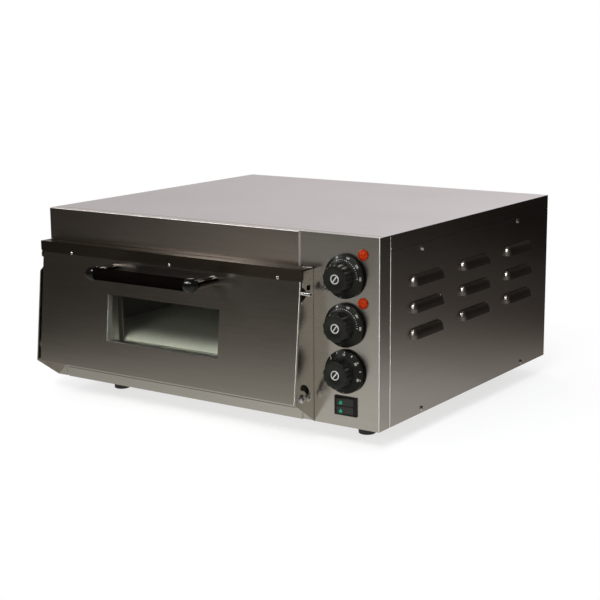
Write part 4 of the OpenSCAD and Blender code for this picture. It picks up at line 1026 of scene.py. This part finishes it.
table_white, tree, shader, out = material("table_white", **{"Base Color": (0.93, 0.93, 0.93, 1),
                                                            "Roughness": 0.9, "Specular IOR Level": 0.1})
glow = node(tree, "ShaderNodeEmission", {"Color": (1, 1, 1, 1), "Strength": 1.0})
coords = node(tree, "ShaderNodeTexCoord")
flat = node(tree, "ShaderNodeVectorMath", {0: coords.outputs["Object"], 1: (1, 1, 0)}, operation="MULTIPLY")
away = node(tree, "ShaderNodeVectorMath", {0: flat.outputs[0]}, operation="LENGTH")
plain = node(tree, "ShaderNodeMapRange", {"Value": away.outputs["Value"], "From Min": 0.25, "From Max": 0.75,
                                          "To Min": 0.68, "To Max": 1.0}, interpolation_type="SMOOTHSTEP")
seen = node(tree, "ShaderNodeMixShader", {0: plain.outputs[0], 1: shader.outputs[0], 2: glow.outputs[0]})
print("table:", 2 * FLOOR_HALF, "m across")

# %% [markdown]
# ## The table as the steel sees it
# The tone of each pool was fitted to the photograph: what each steel face mirrors is known from
# the camera and the face's slope, so its brightness tells how bright that patch of table was.
# One long pool in front of the oven makes the front's fall of light from top to bottom, small
# ones light the right side and the folds, and two dark ones dim the far corners.

# %% Pools of light on the table
axes = node(tree, "ShaderNodeSeparateXYZ", {0: coords.outputs["Object"]})


def pool(tree, centre, faster=1.0):
    """Distance from a point of the table, counted faster to the right of it and behind it."""
    steps = []
    for axis, middle in zip("XY", centre):
        along = maths(tree, "SUBTRACT", axes.outputs[axis], middle)
        along = maths(tree, "MAXIMUM", along, maths(tree, "MULTIPLY", along, faster))
        steps.append(maths(tree, "MULTIPLY", along, along))
    return maths(tree, "SQRT", maths(tree, "ADD", *steps))


def many_shades(tree, value, stops, reach, neutral=False):
    """A colour ramp of (distance, brightness) stops; dark tones are a little warmer, unless neutral."""
    ramp = node(tree, "ShaderNodeValToRGB", {"Fac": maths(tree, "DIVIDE", value, reach)})
    while len(ramp.color_ramp.elements) < len(stops):
        ramp.color_ramp.elements.new(1.0)
    for element, (where, tone) in zip(ramp.color_ramp.elements, stops):
        warm = max(0.0, 1 - tone / 0.3)
        element.position = where / reach
        tint = (1, 1, 1) if neutral else (1 + 0.14 * warm, 1, 0.94 - 0.04 * warm)
        element.color = (*[tone * part for part in tint], 1)
    return ramp.outputs[0]


lit_front = many_shades(tree, pool(tree, (0.2, -0.35), 2.0),
                        [(0, 0.62), (0.13, 0.60), (0.41, 0.476), (0.83, 0.33), (1.2, 0.235), (1.5, 0.165),
                         (1.76, 0.09), (2.06, 0.045), (2.5, 0.03), (3.2, 0.026)], 3.2)
dim_left = many_shades(tree, pool(tree, (-1.25, -0.9)), [(0, 0.12), (0.28, 0.15), (0.66, 1.0)], 0.7, True)
dim_back = many_shades(tree, pool(tree, (1.0, 2.1)), [(0, 0.1), (0.65, 0.12), (1.15, 1.0)], 1.2, True)
lit_right = many_shades(tree, pool(tree, (0.95, -0.9)), [(0, 0.78), (0.35, 0.68), (0.85, 0.0)], 1.0)
lit_fold = many_shades(tree, pool(tree, (1.1, -0.35)), [(0, 0.95), (0.25, 0.9), (0.4, 0.0)], 0.5)
lit_side = many_shades(tree, pool(tree, (0.42, 0.0)), [(0, 0.42), (0.18, 0.30), (0.33, 0.10), (0.47, 0.0)], 0.7)
lit_far_side = many_shades(tree, pool(tree, (0.9, 0.8)), [(0, 0.055), (0.3, 0.045), (0.6, 0.0)], 0.7)
lit_back = many_shades(tree, pool(tree, (-0.7, 0.75)), [(0, 0.5), (0.5, 0.42), (1.1, 0.0)], 1.1)
table_tone = blended(tree, "MULTIPLY", 1.0, blended(tree, "MULTIPLY", 1.0, lit_front, dim_left), dim_back)
for patch in (lit_right, lit_fold, lit_side, lit_far_side, lit_back):
    table_tone = blended(tree, "LIGHTEN", 1.0, table_tone, patch)
print("nodes of the table's shader:", len(tree.nodes))

# %% Two views of the table in one material


def ray_mix(tree, seen, mirrored):
    """One shader for the camera and scattered light, another for reflections and refractions."""
    rays = node(tree, "ShaderNodeLightPath")
    which = maths(tree, "MAXIMUM", rays.outputs["Is Glossy Ray"], rays.outputs["Is Transmission Ray"])
    return node(tree, "ShaderNodeMixShader", {0: which, 1: seen, 2: mirrored}).outputs[0]


mirrored = node(tree, "ShaderNodeEmission", {"Color": table_tone, "Strength": 1.0})
tree.links.new(ray_mix(tree, seen.outputs[0], mirrored.outputs[0]), out.inputs["Surface"])
table_white.cycles.emission_sampling = "NONE"
floor_mesh.materials.append(table_white)
print("the floor carries", floor_mesh.materials[0].name)

# %% [markdown]
# ## The room
# The room is white to the camera and a soft grey to scattered light. In reflections it is dark,
# as a studio is behind its lamps, but for a bright low wall behind the oven on the left, which
# the top sheet mirrors. Only directions are read, so nothing slides when the camera moves.

# %% World
world = bpy.data.worlds.new("studio")
scene.world = world
world.cycles.sampling_method = "NONE"
world.use_nodes = True
tree = world.node_tree
tree.nodes.clear()
rays = node(tree, "ShaderNodeLightPath")
coords = node(tree, "ShaderNodeTexCoord")
toward = node(tree, "ShaderNodeSeparateXYZ", {0: coords.outputs["Generated"]})


def fade(value, start, end):
    """From 0 to 1 between two values of a direction's axis."""
    return node(tree, "ShaderNodeMapRange", {"Value": value, "From Min": start, "From Max": end},
                interpolation_type="SMOOTHSTEP").outputs[0]


leftward = fade(toward.outputs["X"], -0.08, -0.34)
backward = fade(toward.outputs["Y"], 0.25, 0.55)
low = fade(toward.outputs["Z"], 0.72, 0.40)
wall = maths(tree, "MULTIPLY", maths(tree, "MULTIPLY", leftward, backward), low)
across = node(tree, "ShaderNodeMapRange", {"Value": toward.outputs["X"], "From Min": -0.68, "From Max": -0.40,
                                           "To Min": 0.62, "To Max": 0.88})
plaster = blended(tree, "MIX", across.outputs[0], (0, 0, 0, 1), (1.0, 0.955, 0.965, 1))
rightward = maths(tree, "MULTIPLY", fade(toward.outputs["X"], 0.1, 0.5), fade(toward.outputs["Y"], 0.2, 0.6))
far_room = blended(tree, "MIX", rightward, (0.040, 0.035, 0.030, 1), (0.010, 0.0085, 0.007, 1))
room = blended(tree, "MIX", wall, far_room, plaster)
mirrored = node(tree, "ShaderNodeBackground", {"Color": room, "Strength": 1.0})
soft = node(tree, "ShaderNodeBackground", {"Color": (0.9, 0.92, 0.95, 1), "Strength": 0.45})
seen = node(tree, "ShaderNodeBackground", {"Color": (1, 1, 1, 1), "Strength": 1.0})
first = node(tree, "ShaderNodeMixShader", {0: rays.outputs["Is Camera Ray"], 1: soft.outputs[0],
                                           2: seen.outputs[0]})
node(tree, "ShaderNodeOutputWorld", {"Surface": ray_mix(tree, first.outputs[0], mirrored.outputs[0])})
print("nodes of the world's shader:", len(tree.nodes))

# %% [markdown]
# ## Lamps of the studio
# Large soft lamps give the plain light of a product picture. Most are hidden from reflections,
# which see the fitted table and room instead. One narrow lamp lights the stone through the
# window, and one small lamp near the oven gives only the highlights on the handle's caps.

# %% Lamps of the studio


def softbox(name, where, aim, size, power, mirrored=False, scattered=True, spread=180):
    """A square area light that looks at a point, and that reflections see or don't."""
    data = bpy.data.lights.new(name, "AREA")
    data.size = size
    data.energy = power
    data.spread = math.radians(spread)
    made = bpy.data.objects.new(name, data)
    scene.collection.objects.link(made)
    made.location = where
    made.visible_glossy = mirrored
    made.visible_diffuse = scattered
    made.rotation_euler = (Vector(aim) - Vector(where)).to_track_quat("-Z", "Y").to_euler()
    print(name, power, "W")


softbox("window_light", (0.62, -2.4, 0.72), (0.1, -0.2, 0.15), 0.6, 12)
softbox("through_window", (0.80, -1.85, 1.45), (-0.05, -0.22, 0.12), 0.5, 1.3, spread=26)
softbox("key_high", (0.5, -1.95, 2.05), (0.1, 0, 0.2), 0.55, 26, mirrored=True)
softbox("cap_light", (-0.248, -0.544, 0.536), (0.029, -0.287, 0.207), 0.18, 1.25, mirrored=True,
        scattered=False)
softbox("overhead", (0, 0.2, 2.4), (0, 0, 0), 2.0, 30)

# %% [markdown]
# ## Where places show in the frame
# One function tells where a place shows in the frame, and another finds the outer edges from the finished
# vertices that show, because a box round the oven would be wider than what is seen.


def shows_at(point):
    """Where a place shows in the 600 by 600 frame."""
    seen = camera.matrix_world.inverted() @ point
    return (FRAME_PX / 2 - FOCAL_PX * seen.x / seen.z, FRAME_PX / 2 + FOCAL_PX * seen.y / seen.z)


EDGE_TRIES, SAME_PLACE = 400, 0.002


def visible_edges():
    """The outermost finished vertices that show, as left and right x and top and bottom y of the frame."""
    graph = bpy.context.evaluated_depsgraph_get()
    eye = camera.matrix_world.translation
    seen = []
    for made in scene.objects:
        if made.type != "MESH" or made is floor or made.hide_render:
            continue
        solid = made.evaluated_get(graph)
        seen += [(shows_at(solid.matrix_world @ v.co), solid.matrix_world @ v.co) for v in solid.data.vertices]
    found = {}
    for edge, axis, sign in (("left", 0, 1), ("right", 0, -1), ("top", 1, 1), ("bottom", 1, -1)):
        for shown, place in sorted(seen, key=lambda each: sign * each[0][axis])[:EDGE_TRIES]:
            hit, spot, *_ = scene.ray_cast(graph, eye, (place - eye).normalized())
            if not hit or (spot - place).length < SAME_PLACE:
                found[edge] = shown[axis]
                break
    return found


for edge, value in visible_edges().items():
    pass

# %% [markdown]
# ## The end
# Dressing must not change the oven's size. The Standard view keeps colours as they are written.

# %% The end
scene.view_settings.view_transform = "Standard"
